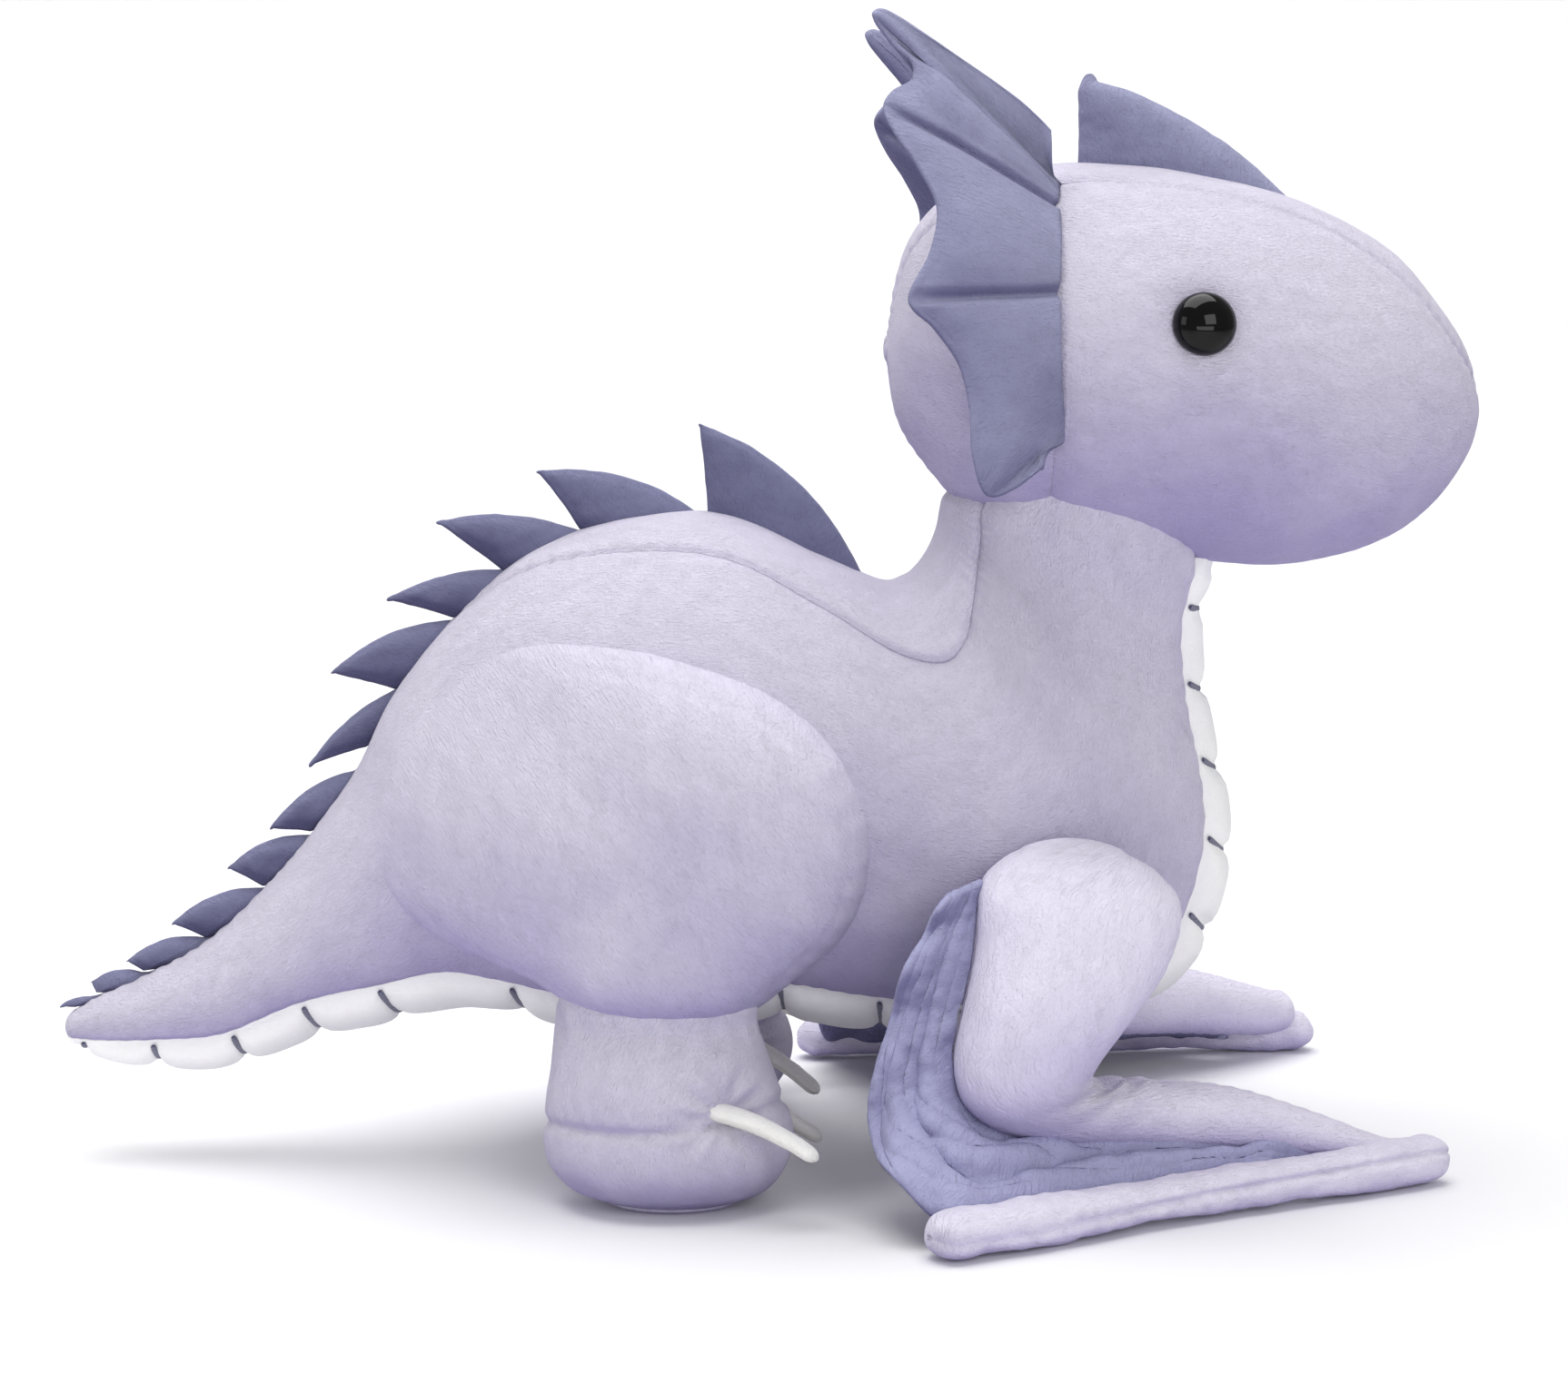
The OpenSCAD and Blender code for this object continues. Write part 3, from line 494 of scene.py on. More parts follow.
def eye_material():
    """Polished black moulding with the faintest swirl and fine surface marks."""
    material = bpy.data.materials.new("eye_gloss_black")
    material.use_nodes = True
    tree = material.node_tree
    tree.nodes.clear()
    place = tree.nodes.new("ShaderNodeTexCoord")
    swirl = node(tree, "ShaderNodeTexNoise", Scale=120.0, Detail=2.0)
    tree.links.new(place.outputs["Object"], swirl.inputs["Vector"])
    colour = ramp_of(tree, swirl.outputs["Fac"], [(0.3, srgb(3, 3, 3)), (0.7, srgb(8, 7, 8))])
    marks = node(tree, "ShaderNodeTexNoise", Scale=900.0, Detail=2.0)
    tree.links.new(place.outputs["Object"], marks.inputs["Vector"])
    rough = node(tree, "ShaderNodeMapRange")
    tree.links.new(marks.outputs["Fac"], rough.inputs["Value"])
    rough.inputs["To Min"].default_value = 0.035
    rough.inputs["To Max"].default_value = 0.085
    skin = tree.nodes.new("ShaderNodeBsdfPrincipled")
    skin.inputs["IOR"].default_value = 1.33
    tree.links.new(colour.outputs["Color"], skin.inputs["Base Color"])
    tree.links.new(rough.outputs[0], skin.inputs["Roughness"])
    out = tree.nodes.new("ShaderNodeOutputMaterial")
    tree.links.new(skin.outputs[0], out.inputs["Surface"])
    return material


def plain_material(name, colour, shade, rough, scale):
    material = bpy.data.materials.new(name)
    material.use_nodes = True
    tree = material.node_tree
    tree.nodes.clear()
    place = tree.nodes.new("ShaderNodeTexCoord")
    speck = node(tree, "ShaderNodeTexNoise", Scale=scale, Detail=3.0)
    tree.links.new(place.outputs["Object"], speck.inputs["Vector"])
    tint = ramp_of(tree, speck.outputs["Fac"], [(0.3, shade), (0.7, colour)])
    skin = node(tree, "ShaderNodeBsdfPrincipled", Roughness=rough)
    tree.links.new(tint.outputs["Color"], skin.inputs["Base Color"])
    out = tree.nodes.new("ShaderNodeOutputMaterial")
    tree.links.new(skin.outputs[0], out.inputs["Surface"])
    return material


# each pile gets deep, mid and light: painted shade for downward-facing surfaces, the colour between, and painted light
# for upward-facing ones
LILAC = pile_material("plush_lilac", srgb(142, 132, 182), srgb(184, 177, 207), srgb(214, 209, 225))
LILAC_LONG = pile_material("plush_lilac_long", srgb(146, 137, 182), srgb(194, 187, 214), srgb(220, 215, 230),
                           streak=(230, 880), bump=1.0, mottle=0.6, pile=0.2, tuft_size=170.0)
SLATE = pile_material("plush_slate", srgb(72, 70, 104), srgb(103, 102, 134), srgb(142, 143, 171),
                      streak=(270, 1000), sheen=0.28, bump=1.0, mottle=0.7, pile=0.3)
SLATE_DARK = pile_material("plush_slate_dark", srgb(52, 51, 84), srgb(78, 77, 108), srgb(118, 119, 148),
                           streak=(320, 1200), sheen=0.25, bump=0.9, mottle=0.7, pile=0.3)
SLATE_LONG = pile_material("plush_slate_long", srgb(60, 57, 90), srgb(98, 96, 128), srgb(146, 146, 176),
                           streak=(170, 720), sheen=0.3, bump=1.0, mottle=0.9, pile=0.55, tuft_size=150.0)
WHITE = pile_material("plush_white", srgb(222, 220, 226), srgb(246, 245, 247), srgb(250, 250, 250),
                      streak=(520, 1900), sheen=0.15, bump=0.4, mottle=0.25, pile=0.04)
SUEDE = pile_material("suede_white", srgb(206, 203, 199), srgb(236, 234, 230), srgb(244, 243, 240),
                      streak=(700, 1500), sheen=0.3, bump=0.7, mottle=0.3, pile=0.08)
THREAD = thread_material("thread_slate", srgb(70, 71, 100), srgb(118, 119, 148))
BLACK = eye_material()
WASHER = plain_material("washer_white", srgb(232, 232, 228), srgb(222, 222, 218), 0.5, 300.0)
FIBRE = plain_material("stuffing_fibre", srgb(246, 245, 240), srgb(228, 226, 220), 0.95, 220.0)

# ---- body, tail and belly ----------------------------------------------------------------

N_BODY = len(BODY) - 1
TIP_ROWS = 7
NECK_ROWS = 5


def body_rows():
    """Stations of every row of the body panels: about 1.6 mm apart where the skin is longest."""
    def flank(s):
        q = rows(BODY, s)
        return (q[:, 0:2] * 0.62 + q[:, 2:4] * 0.38)
    return even(flank, 0, N_BODY, 1.45)


BODY_S = body_rows()


def axis_step(st, s, sign):
    """Unit vector along a tube's middle line at station s."""
    a, b = rows(st, [s, s - sign * 0.05])
    d = np.array([a[0] + a[2] - b[0] - b[2], 0, a[1] + a[3] - b[1] - b[3]])
    return d / np.linalg.norm(d)


def body_grid(s, t_first, t_last, step):
    """Rows of body points between two angles a row, spaced by real distance across the panel."""
    fine = np.linspace(0, 1, 160)
    spans = t_first[:, None] + (t_last - t_first)[:, None] * fine
    p = tube(BODY, s, spans)
    arc = travel(p, 1)
    share = spread(np.percentile(arc[:, -1], 70), step)
    t = np.stack([np.interp(share * a[-1], a, b) for a, b in zip(arc, spans)])
    return tube(BODY, s, t), t


def close_ends(p, first, last):
    """Rounds the tail tip off and runs the neck up into the head."""
    out = [p]
    if first:
        middle = (BODY[0, 0:2] + BODY[0, 2:4]) / 2
        hub = np.array([middle[0], 0, middle[1]])
        back = axis_step(BODY, 0.0, 1)
        back = -back if back[0] > 0 else back
        for k in (0.2, 0.45, 0.65, 0.8, 0.9, 0.96, 0.9995):
            out.insert(0, (hub + (p[0] - hub) * math.sqrt(1 - k * k) + back * 3.2 * k)[None])
    if last:
        hub = p[-1].mean(0)
        rise = np.array([0.305, 0, 0.952])
        for k in range(1, NECK_ROWS + 1):
            out.append((p[-1] + rise * 2.2 * k - (p[-1] - hub) * 0.03 * k)[None])
    return np.concatenate(out)


HEAD_X = np.linspace(31, 203, 120)


def head_distance(p):
    """Rough signed distance in mm from the head's surface, positive outside."""
    grid = np.linspace(0, len(HEAD) - 1, 400)
    q = rows(HEAD, grid)
    x = q[:, 0]
    px = np.clip(p[..., 0], x[0], x[-1])
    top, low, half = (np.interp(px, x, q[:, k]) for k in (1, 3, 4))
    e = np.sqrt((p[..., 1] / half) ** 2 + ((p[..., 2] - (top + low) / 2) / ((top - low) / 2)) ** 2)
    return (e - 1) * np.minimum(half, (top - low) / 2)


def dress(p, t, st_s, puff, along):
    """Moves a body grid by stuffing lumps, the seams at both sides and the neck seam."""
    n = normals(p)
    centre = p.copy()
    q = rows(BODY, st_s)
    centre[..., 0] = ((q[:, 0] + q[:, 2]) / 2)[:, None]
    centre[..., 1] = 0
    centre[..., 2] = ((q[:, 1] + q[:, 3]) / 2)[:, None]
    n = outward(n, p, centre)
    arc = travel(p, 1)
    left, right = arc, arc[:, -1:] - arc
    narrow = np.clip(arc[:, -1:] / 26, 0.15, 1)
    move = puff + lumps(p, 0.8) * narrow
    move = move + seam(left, along, 1.35 * narrow) + seam(right, along, 1.35 * narrow)
    d = head_distance(p)
    move = move - 1.8 * np.exp(-(np.maximum(d, 0) / 3.0) ** 2) + 0.35 * pucker(travel(p, 1)) * np.exp(-(d / 7) ** 2)
    return p + n * move[..., None], n


def tuck(p, n, depth=2.6):
    """Adds a column beyond each side seam, turned down into the seam."""
    first = p[:, :1] - n[:, :1] * depth
    last = p[:, -1:] - n[:, -1:] * depth
    return (np.concatenate([first, p, last], 1), np.concatenate([n[:, :1], n, n[:, -1:]], 1))


def panel_body(name, s, t_first, t_last, step, material, puff=None, first=True):
    grid, t = body_grid(s, t_first, t_last, step)
    along = travel(grid, 0)[:, grid.shape[1] // 2: grid.shape[1] // 2 + 1] * 0 + ALONG_AT(s)[:, None]
    swell = np.zeros(grid.shape[:2]) if puff is None else puff(grid, s)
    p, n = dress(grid, t, s, swell, along)
    p = close_ends(p, first, True)
    n_full = normals(p)
    if np.sum(n_full[TIP_ROWS:-NECK_ROWS][: len(n)] * n[: len(n_full[TIP_ROWS:-NECK_ROWS])]) < 0:
        n_full = -n_full
    p, n_full = tuck(p, n_full)
    return shell(name, p, n_full, 1.2, material, None)


def ALONG_AT(s):
    q = rows(BODY, BODY_S)
    line = np.stack([(q[:, 0] + q[:, 2]) / 2, (q[:, 1] + q[:, 3]) / 2], 1)
    d = np.concatenate([[0], np.cumsum(np.linalg.norm(np.diff(line, axis=0), axis=1))])
    return np.interp(s, BODY_S, d * 1.15)


def quilt(grid, s):
    """Belly scales: each one swells between two rows of embroidery and pinches at them."""
    marks = np.array([-0.6] + BARS + [N_BODY + 0.6])
    k = np.searchsorted(marks, s, side="right") - 1
    k = np.clip(k, 0, len(marks) - 2)
    f = (s - marks[k]) / (marks[k + 1] - marks[k])
    line = ALONG_AT(np.clip(marks, 0, N_BODY))
    size = (line[k + 1] - line[k])
    lift = np.minimum(3.1, 0.15 * size)
    arc = travel(grid, 1)
    side = np.minimum(arc, arc[:, -1:] - arc)
    round_off = 1 - np.exp(-(side / 4.5) ** 2)
    profile = (1 - np.abs(2 * f - 1) ** 3.2) ** 0.75
    pinch = -1.0 * np.exp(-(np.minimum(f, 1 - f) * size / 1.5) ** 2)
    crease = 0.25 * pucker(arc, 1.0, 7.0) * np.exp(-(np.minimum(f, 1 - f) * size / 3.5) ** 2)[:, None]
    return (lift * profile + pinch)[:, None] * round_off + crease * round_off


def build_body():
    q = rows(BODY, BODY_S)
    top = 90 - reach(q[:, 5] + 0.0, q[:, 4])
    low = -90 + reach(q[:, 6], q[:, 4])
    pieces = []
    for side, sign in SIDES:
        if sign > 0:
            a, b = top, low
        else:
            a, b = 180 - top, 180 - low
        piece = panel_body("plush_body_" + side, BODY_S, a, b, 2.6, LILAC)
        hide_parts("body_side_" + side, "tail_side_" + side)
        pieces.append(piece)
    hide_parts("body_stuffing", "tail_stuffing")
    belly = panel_body("plush_belly", BODY_S, low + 0.0, -180 - low, 1.5, WHITE, quilt)
    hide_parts("belly_panel", "tail_underside")
    pieces.append(belly)
    for piece in pieces + [embroidery()]:
        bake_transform(piece)
    s = BODY_S[BODY_S >= 7.45]
    q = rows(BODY, s)
    a = reach(q[:, 5], q[:, 4])
    gusset = panel_body("plush_back_gusset", s, 90 + a, 90 - a, 2.0, LILAC, first=False)
    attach(gusset, "torso")
    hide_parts("back_gusset")


def embroidery():
    """Rows of satin stitch across the belly: one rounded cord of thread a row."""
    verts, faces, uvs = [], [], []
    for s in BARS:
        q = rows(BODY, [s])
        a = float(reach(q[:, 6], q[:, 4])[0])
        arc = np.linspace(-90 + a, -90 - a, 200)
        base = tube(BODY, np.array([s]), arc[None])[0]
        d = np.concatenate([[0], np.cumsum(np.linalg.norm(np.diff(base, axis=0), axis=1))])
        places = np.linspace(0.9, d[-1] - 0.9, max(8, int(d[-1] / 0.4)))
        t = np.interp(places, d, arc)
        line = tube(BODY, np.array([s]), t[None])[0]
        ahead = axis_step(BODY, max(s, 0.1), 1)
        across = np.gradient(line, axis=0)
        across /= np.linalg.norm(across, axis=1, keepdims=True)
        out = np.cross(across, ahead)
        out /= np.linalg.norm(out, axis=1, keepdims=True)
        middle = np.array([(q[0, 0] + q[0, 2]) / 2, 0, (q[0, 1] + q[0, 3]) / 2])
        out = outward(out, line, middle)
        edge = np.minimum(places, d[-1] - places)
        swell = 1 - np.exp(-(edge / 1.2) ** 2) * 0.6
        ridge = 1 + 0.13 * np.sin(places * 2 * np.pi / 1.15)
        ring = []
        for j in range(10):
            w = 2 * np.pi * j / 10
            r = 0.8 * swell * ridge
            ring.append(line + out * (-0.45 + math.sin(w) * r * 0.8)[:, None]
                        + ahead * (math.cos(w) * r * 1.15)[:, None])
        p = np.stack(ring, 1)
        start = len(verts)
        verts += p.reshape(-1, 3).tolist()
        faces += grid_faces(len(line), 10, True, True, start).tolist()
        uvs += grid_uvs(p, True, True).tolist()
        for row, turn in ((0, 1), (len(line) - 1, -1)):
            ids = [start + row * 10 + j for j in range(10)]
            faces.append(ids[::turn])
            uvs += [[0, 0]] * 10
    piece = make_object("belly_embroidery", verts, faces, uvs, THREAD, None)
    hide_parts("belly_stitches", "tail_stitches")
    return piece


# ---- head --------------------------------------------------------------------------------

HEAD_S = even(lambda s: np.stack([rows(HEAD, s)[:, 0], rows(HEAD, s)[:, 1], rows(HEAD, s)[:, 4]], 1),
              0, len(HEAD) - 1, 1.5, 1500)


def head_grid(s, t_first, t_last, step):
    fine = np.linspace(0, 1, 160)
    spans = t_first[:, None] + (t_last - t_first)[:, None] * fine
    arc = travel(tube(HEAD, s, spans), 1)
    share = spread(np.percentile(arc[:, -1], 80), step)
    t = np.stack([np.interp(share * a[-1], a, b) for a, b in zip(arc, spans)])
    return tube(HEAD, s, t)


def eye_frame(sign):
    """Centre and axes of an eye: right, up and outward."""
    turn, yaw = math.radians(90 - EYE_TURN[0]), math.radians(EYE_TURN[1])
    out = np.array([math.sin(yaw), sign * math.sin(turn) * math.cos(yaw), math.cos(turn) * math.cos(yaw)])
    out /= np.linalg.norm(out)
    side = np.cross([0, 0, 1], out)
    side /= np.linalg.norm(side)
    return np.array([EYE[0], -sign * EYE[1], EYE[2]]), side, np.cross(out, side), out


def head_panel(name, s, a, b, step, ends, cross_seam):
    p = head_grid(s, a, b, step)
    n = normals(p)
    n = outward(n, p, np.array([115, 0, 238.0]))
    arc = travel(p, 1)
    along = np.interp(s, HEAD_S, travel(rows(HEAD, HEAD_S)[:, None, [0, 1, 4]], 0)[:, 0])[:, None] * np.ones_like(arc)
    slim = np.clip(arc[:, -1:] / 30, 0.15, 1)
    move = lumps(p, 0.8) + seam(arc, along, 1.1 * slim, 0.26) + seam(arc[:, -1:] - arc, along, 1.1 * slim, 0.26)
    if cross_seam:
        move = move + seam(np.abs(p[..., 0] - HEAD[EAR_CUT, 0]), travel(p, 1), 1.2, 0.3, 2.0)
    for sign in (-1, 1):
        centre, _, _, out = eye_frame(sign)
        d = np.linalg.norm(p - centre, axis=-1)
        move = move - 2.3 * np.exp(-((d - 4) / 9.5).clip(0) ** 2 * 1.6)
    p = p + n * move[..., None]
    rings = [p]
    for where, row in ((0, 0), (1, -1)):
        if not ends[where]:
            continue
        q = HEAD[row]
        hub = np.array([q[0], 0, (q[1] + q[3]) / 2])
        reach_out = -1.0 if where == 0 else 0.8
        for k in (0.3, 0.6, 0.8, 0.92, 0.98, 0.9995):
            ring = (hub + (p[row] - hub) * math.sqrt(1 - k * k) + np.array([reach_out * k, 0, 0]))[None]
            rings = [ring] + rings if where == 0 else rings + [ring]
    full = np.concatenate(rings)
    m = outward(normals(full), full, np.array([115, 0, 238.0]))
    full, m = tuck(full, m, 2.4)
    piece = shell(name, full, m, 1.2, LILAC, "head")
    return piece


def build_head():
    back = HEAD_S[HEAD_S <= EAR_CUT]
    front = HEAD_S[HEAD_S > EAR_CUT]
    back = np.append(back, EAR_CUT)
    front = np.insert(front, 0, EAR_CUT)
    for side, sign in SIDES:
        for label, s, ends in (("face", front, (False, True)), ("head_back", back, (True, False))):
            q = rows(HEAD, s)
            a = 90 - reach(q[:, 5], q[:, 4])
            b = -90 + reach(q[:, 6], q[:, 4])
            if sign < 0:
                a, b = 180 - a, 180 - b
            piece = head_panel(f"plush_{label}_{side}", s, a, b, 2.4, ends, True)
            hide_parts(f"{label}_{'side_' if label == 'face' else ''}{side}")
            if label == "face" and sign < 0:
                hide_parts("head_stuffing")
    q = rows(HEAD, HEAD_S)
    a = reach(q[:, 5], q[:, 4])
    gusset = head_panel("plush_head_gusset", HEAD_S, 90 + a, 90 - a, 2.0, (True, True), False)
    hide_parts("head_gusset")
    for side, sign in SIDES:
        eye(side, sign)


def eye(side, sign):
    """Domed safety eye with a rolled rim, pulled into the plush."""
    centre, right, up, out = eye_frame(sign)
    steps = 22
    rings = []
    profile = [(EYE_R * 0.9, -1.6), (EYE_R * 0.985, -0.6), (EYE_R, 0.3)]
    profile += [(EYE_R * math.cos(k), 0.6 + EYE_H * math.sin(k)) for k in np.linspace(0.05, math.pi / 2 - 0.03, steps)]
    turn = np.linspace(0, 2 * np.pi, 72, endpoint=False)
    for r, h in profile:
        rings.append(centre + r * (np.cos(turn)[:, None] * right + np.sin(turn)[:, None] * up) + h * out)
    piece = loft("glossy_eye_" + side, np.stack(rings), BLACK, "head")
    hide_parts("eye_" + side)


# ---- fins: spines and crest --------------------------------------------------------------

def fin(name, rear, front, thick, material, body, blunt=1.0, rim=0.55, turn=0.0):
    """Two-layer stuffed fin between a rear and a front edge curve, widest at its root."""
    middle = (rear + front) / 2
    half = np.linalg.norm(front - rear, axis=1)[:, None] / 2
    across = (front - rear) / np.maximum(2 * half, 1e-6)
    rise = travel(middle[:, None], 0)[:, 0]
    rise = rise[-1] - rise
    round_tip = np.sqrt(1 - np.exp(-(rise / 4.5) ** 2) * 0.86)[:, None]
    blunt_end = np.sqrt(1 - 0.93 * np.clip(1 - rise / (2.2 * half[-1]), 0, 1) ** 2)[:, None]
    half = half * blunt_end
    w = np.linspace(0, 2 * np.pi, 44, endpoint=False)
    c, s = np.cos(w), np.sin(w)
    x = np.sign(c) * np.abs(c) ** 0.8
    edge = half * (1 - np.abs(x))[None]
    lens = rim + (thick / 2 - rim)[:, None] * (1 - np.abs(x)[None] ** 2.4) ** 0.8 * np.ones_like(edge)
    groove = 0.16 * np.exp(-((edge - 1.9) / 0.8) ** 2)
    y = np.sign(s) * np.minimum(1, np.abs(s) * 3.0) * (lens - groove) * round_tip
    p = middle[:, None] + across[:, None] * (half * x[None])[..., None]
    p[..., 1] += y
    p = p + normals(p, True) * (0.25 * noise(p, 7, 5) + 0.12 * noise(p, 2.6, 6))[..., None]
    return loft(name, p, material, body, turn=turn)


def spike_edges(st, s_front, s_rear, tip, bow, sink, count, tip_half=1.2):
    """Rear and front edge curves of a spike that stands on a tube's top line."""
    base = tube(st, np.array([s_rear, s_front]), np.array([90.0]))[:, 0]
    r, f = base
    tip = np.array([tip[0], 0, tip[1]])
    k = np.linspace(0, 1, count)[:, None]
    normal = np.array([(tip - f)[2], 0, -(tip - f)[0]]) / np.linalg.norm(tip - f)
    front = f + (tip - f) * k + normal * bow * 4 * k * (1 - k)
    rear = r + (tip - r) * k + normal * bow * 0.08 * 4 * k * (1 - k)
    down = (r + f) / 2 - tip
    down /= np.linalg.norm(down)
    sunk = np.linspace(1, 0.25, 4)[:, None] * sink
    front = np.concatenate([f + down * sunk, front])
    rear = np.concatenate([r + down * sunk, rear])
    level = (front - rear) / np.maximum(np.linalg.norm(front - rear, axis=1, keepdims=True), 1e-6)
    level[-1] = level[-2]
    spare = np.maximum(0, tip_half - np.linalg.norm(front - rear, axis=1, keepdims=True) / 2)
    lean = 1 if tip_half > 2 else 0
    return rear - level * spare * (1 - lean), front + level * spare * (1 + lean)


def build_spines():
    for i, (s_front, s_rear, x, z) in enumerate(SPINES, 1):
        width = np.linalg.norm(tube(BODY, np.array([s_front]), np.array([90.0]))[0, 0]
                               - tube(BODY, np.array([s_rear]), np.array([90.0]))[0, 0])
        rear, front = spike_edges(BODY, s_front + 0.045, s_rear - 0.045, (x, z), width * 0.15, 5.5, 44)
        thick = (1 - np.linspace(0, 1, len(rear)) ** 1.5 * 0.62) * min(7.5, 2.6 + width * 0.2)
        piece = fin(f"plush_spine_{i:02d}", rear, front, thick, SLATE_DARK, "torso" if i < 7 else "tail")
        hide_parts(f"spine_{i}")


def build_crest():
    rear, front = spike_edges(HEAD, 9.05, 5.86, (85.5, 321.5), 5, 7, 60, 3.4)
    thick = (1 - np.linspace(0, 1, len(rear)) ** 1.6 * 0.6) * 14
    piece = fin("plush_crest", rear, front, thick, SLATE, "head", rim=1.1)
    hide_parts("crest")


# ---- ears --------------------------------------------------------------------------------

def line_distance(p, line):
    """Distance of every grid point from the nearest point of a line."""
    out = np.full(p.shape[:2], 1e9)
    for q in line:
        out = np.minimum(out, np.linalg.norm(p - q, axis=-1))
    return out


def build_ears():
    s = np.linspace(0, len(EAR) - 1, 230)
    line = rows(EAR, s)
    share = line[:, 3].clip(0, 1)
    angle = EAR_ROOT[0] + (EAR_ROOT[1] - EAR_ROOT[0]) * share
    root = np.stack([tube(HEAD, np.array([EAR_CUT]), np.array([180 - a]))[0, 0] for a in angle])
    hub = np.array([HEAD[EAR_CUT, 0], 0, 241])
    away = (root - hub) / np.linalg.norm(root - hub, axis=1, keepdims=True)
    root = root - away * 2.2
    reach_len = np.linalg.norm(line[:, :3] - root, axis=1)
    k = np.concatenate([np.linspace(0, 0.9, 34), 1 - (1 - np.linspace(0.9, 1, 9)[1:])])
    k[-1] = 1
    mid = root[:, None] + (line[:, None, :3] - root[:, None]) * k[None, :, None]
    # the fin bows outward between its root and its edge
    edge = line_distance(mid, line[:, :3])
    from_root = k[None] * reach_len[:, None]
    bow = 3.6 * (1 - np.exp(-(from_root / 14) ** 1.5)) * (1 - np.exp(-(edge / 10) ** 1.5))
    # cloth spreads the bend of the root over the rays beside it
    reach = 26
    kernel = np.exp(-(np.arange(-reach, reach + 1) / 13) ** 2)
    kernel /= kernel.sum()
    spread = np.pad(mid[..., 1], ((reach, reach), (0, 0)), "edge")
    spread = np.stack([np.convolve(column, kernel, "valid") for column in spread.T], 1)
    mid[..., 1] += (spread - mid[..., 1]) * np.sqrt(4 * k * (1 - k))[None]
    mid[..., 1] -= bow
    du, dv = np.gradient(mid, axis=0), np.gradient(mid, axis=1)
    n = np.cross(du, dv)
    size = np.linalg.norm(n, axis=-1, keepdims=True)
    even_n = np.array([0.25, -0.93, 0.27])
    n = n * np.where(n @ even_n < 0, -1, 1)[..., None] / np.maximum(size, 1e-9)
    sure = np.clip(size / (0.12 * np.linalg.norm(du, axis=-1, keepdims=True)
                           * np.linalg.norm(dv, axis=-1, keepdims=True) + 1e-9), 0, 1) ** 2
    n = n * sure + even_n * (1.02 - sure)
    n /= np.linalg.norm(n, axis=-1, keepdims=True)
    edge = np.minimum(edge, (1 - k)[None] * reach_len[:, None])
    corner = np.arange(len(s))[::-1] * 2.2
    edge = np.minimum(edge, corner[:, None] + 0.4)
    half = 0.5 + 3.1 * (1 - np.exp(-(edge / 4.6) ** 1.2))
    for ray in EAR_RAYS:
        i = int(round(ray / (len(EAR) - 1) * (len(s) - 1)))
        d = line_distance(mid, mid[i])
        half = half - (2.2 * np.exp(-(d / 1.5) ** 2) + 0.4 * np.exp(-(d / 5) ** 2)) * np.clip(edge / 3, 0, 1)
    half = np.maximum(half, 0.45)
    half = half + 0.25 * noise(mid, 8, 7) * np.minimum(1, edge / 4)
    half[:, -1] = 0
    half[0], half[-1] = 0, 0
    outer, inner = mid + n * half[..., None], mid - n * half[..., None]
    # one closed loop a row: root to tip on the outer layer, back on the inner one
    p = np.concatenate([outer, inner[:, ::-1][:, 1:]], 1)
    for side, sign in SIDES:
        q = p * np.array([1, -sign, 1])
        piece = sheet_loop("plush_ear_" + side, q, SLATE, None)
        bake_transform(piece)
        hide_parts("ear_" + side)


def sheet_loop(name, p, material, body):
    """Closed skin from loops that pinch to one line at both ends of the stack."""
    r, c = p.shape[:2]
    n = normals(p, True)
    flip = np.sum(n * (p - p.mean(1, keepdims=True))) < 0
    faces = grid_faces(r, c, True, not flip).tolist()
    uvs = grid_uvs(np.swapaxes(p, 0, 1), False, False)
    u = travel(p, 1) * MM
    half = u.shape[1] // 2
    u = np.where(np.arange(c) > half, u[:, half:half + 1] * 2 - u, u)
    v = travel(p[:, :half + 1], 0).mean(1, keepdims=True) * MM * np.ones((1, c))
    uv = np.stack([np.concatenate([u, u[:, :1]], 1), np.concatenate([v, v[:, :1]], 1)], -1)
    quad = np.stack([uv[:-1, :-1], uv[:-1, 1:], uv[1:, 1:], uv[1:, :-1]], 2).reshape(-1, 4, 2)
    uvs = (quad[:, ::-1] if not flip else quad).reshape(-1, 2)
    obj = make_object(name, p.reshape(-1, 3), faces, uvs, material, None)
    weld(obj)
    if body:
        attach(obj, body)
    return obj


def weld(obj, distance=2e-6):
    work = bmesh.new()
    work.from_mesh(obj.data)
    bmesh.ops.remove_doubles(work, verts=work.verts, dist=distance)
    bmesh.ops.dissolve_degenerate(work, edges=work.edges, dist=1e-6)
    bmesh.ops.recalc_face_normals(work, faces=work.faces)
    work.to_mesh(obj.data)
    work.free()
    obj.data.update()


# ---- hind legs ---------------------------------------------------------------------------

def torso_depth():
    """Lookup of the torso's half width at places in the side view."""
    p = tube(BODY, np.linspace(3, 17, 420), np.linspace(-90, 90, 150)[None])
    quads = grid_faces(p.shape[0], p.shape[1], False, False).tolist()
    tree = BVHTree.FromPolygons(p.reshape(-1, 3).tolist(), quads)

    def depth(x, z):
        out = np.zeros(np.shape(x))
        for i, (a, b) in enumerate(zip(np.ravel(x), np.ravel(z))):
            hit = tree.ray_cast(Vector((a, 300, b)), Vector((0, -1, 0)))[0]
            out.flat[i] = hit[1] if hit else 0
        return out
    return depth


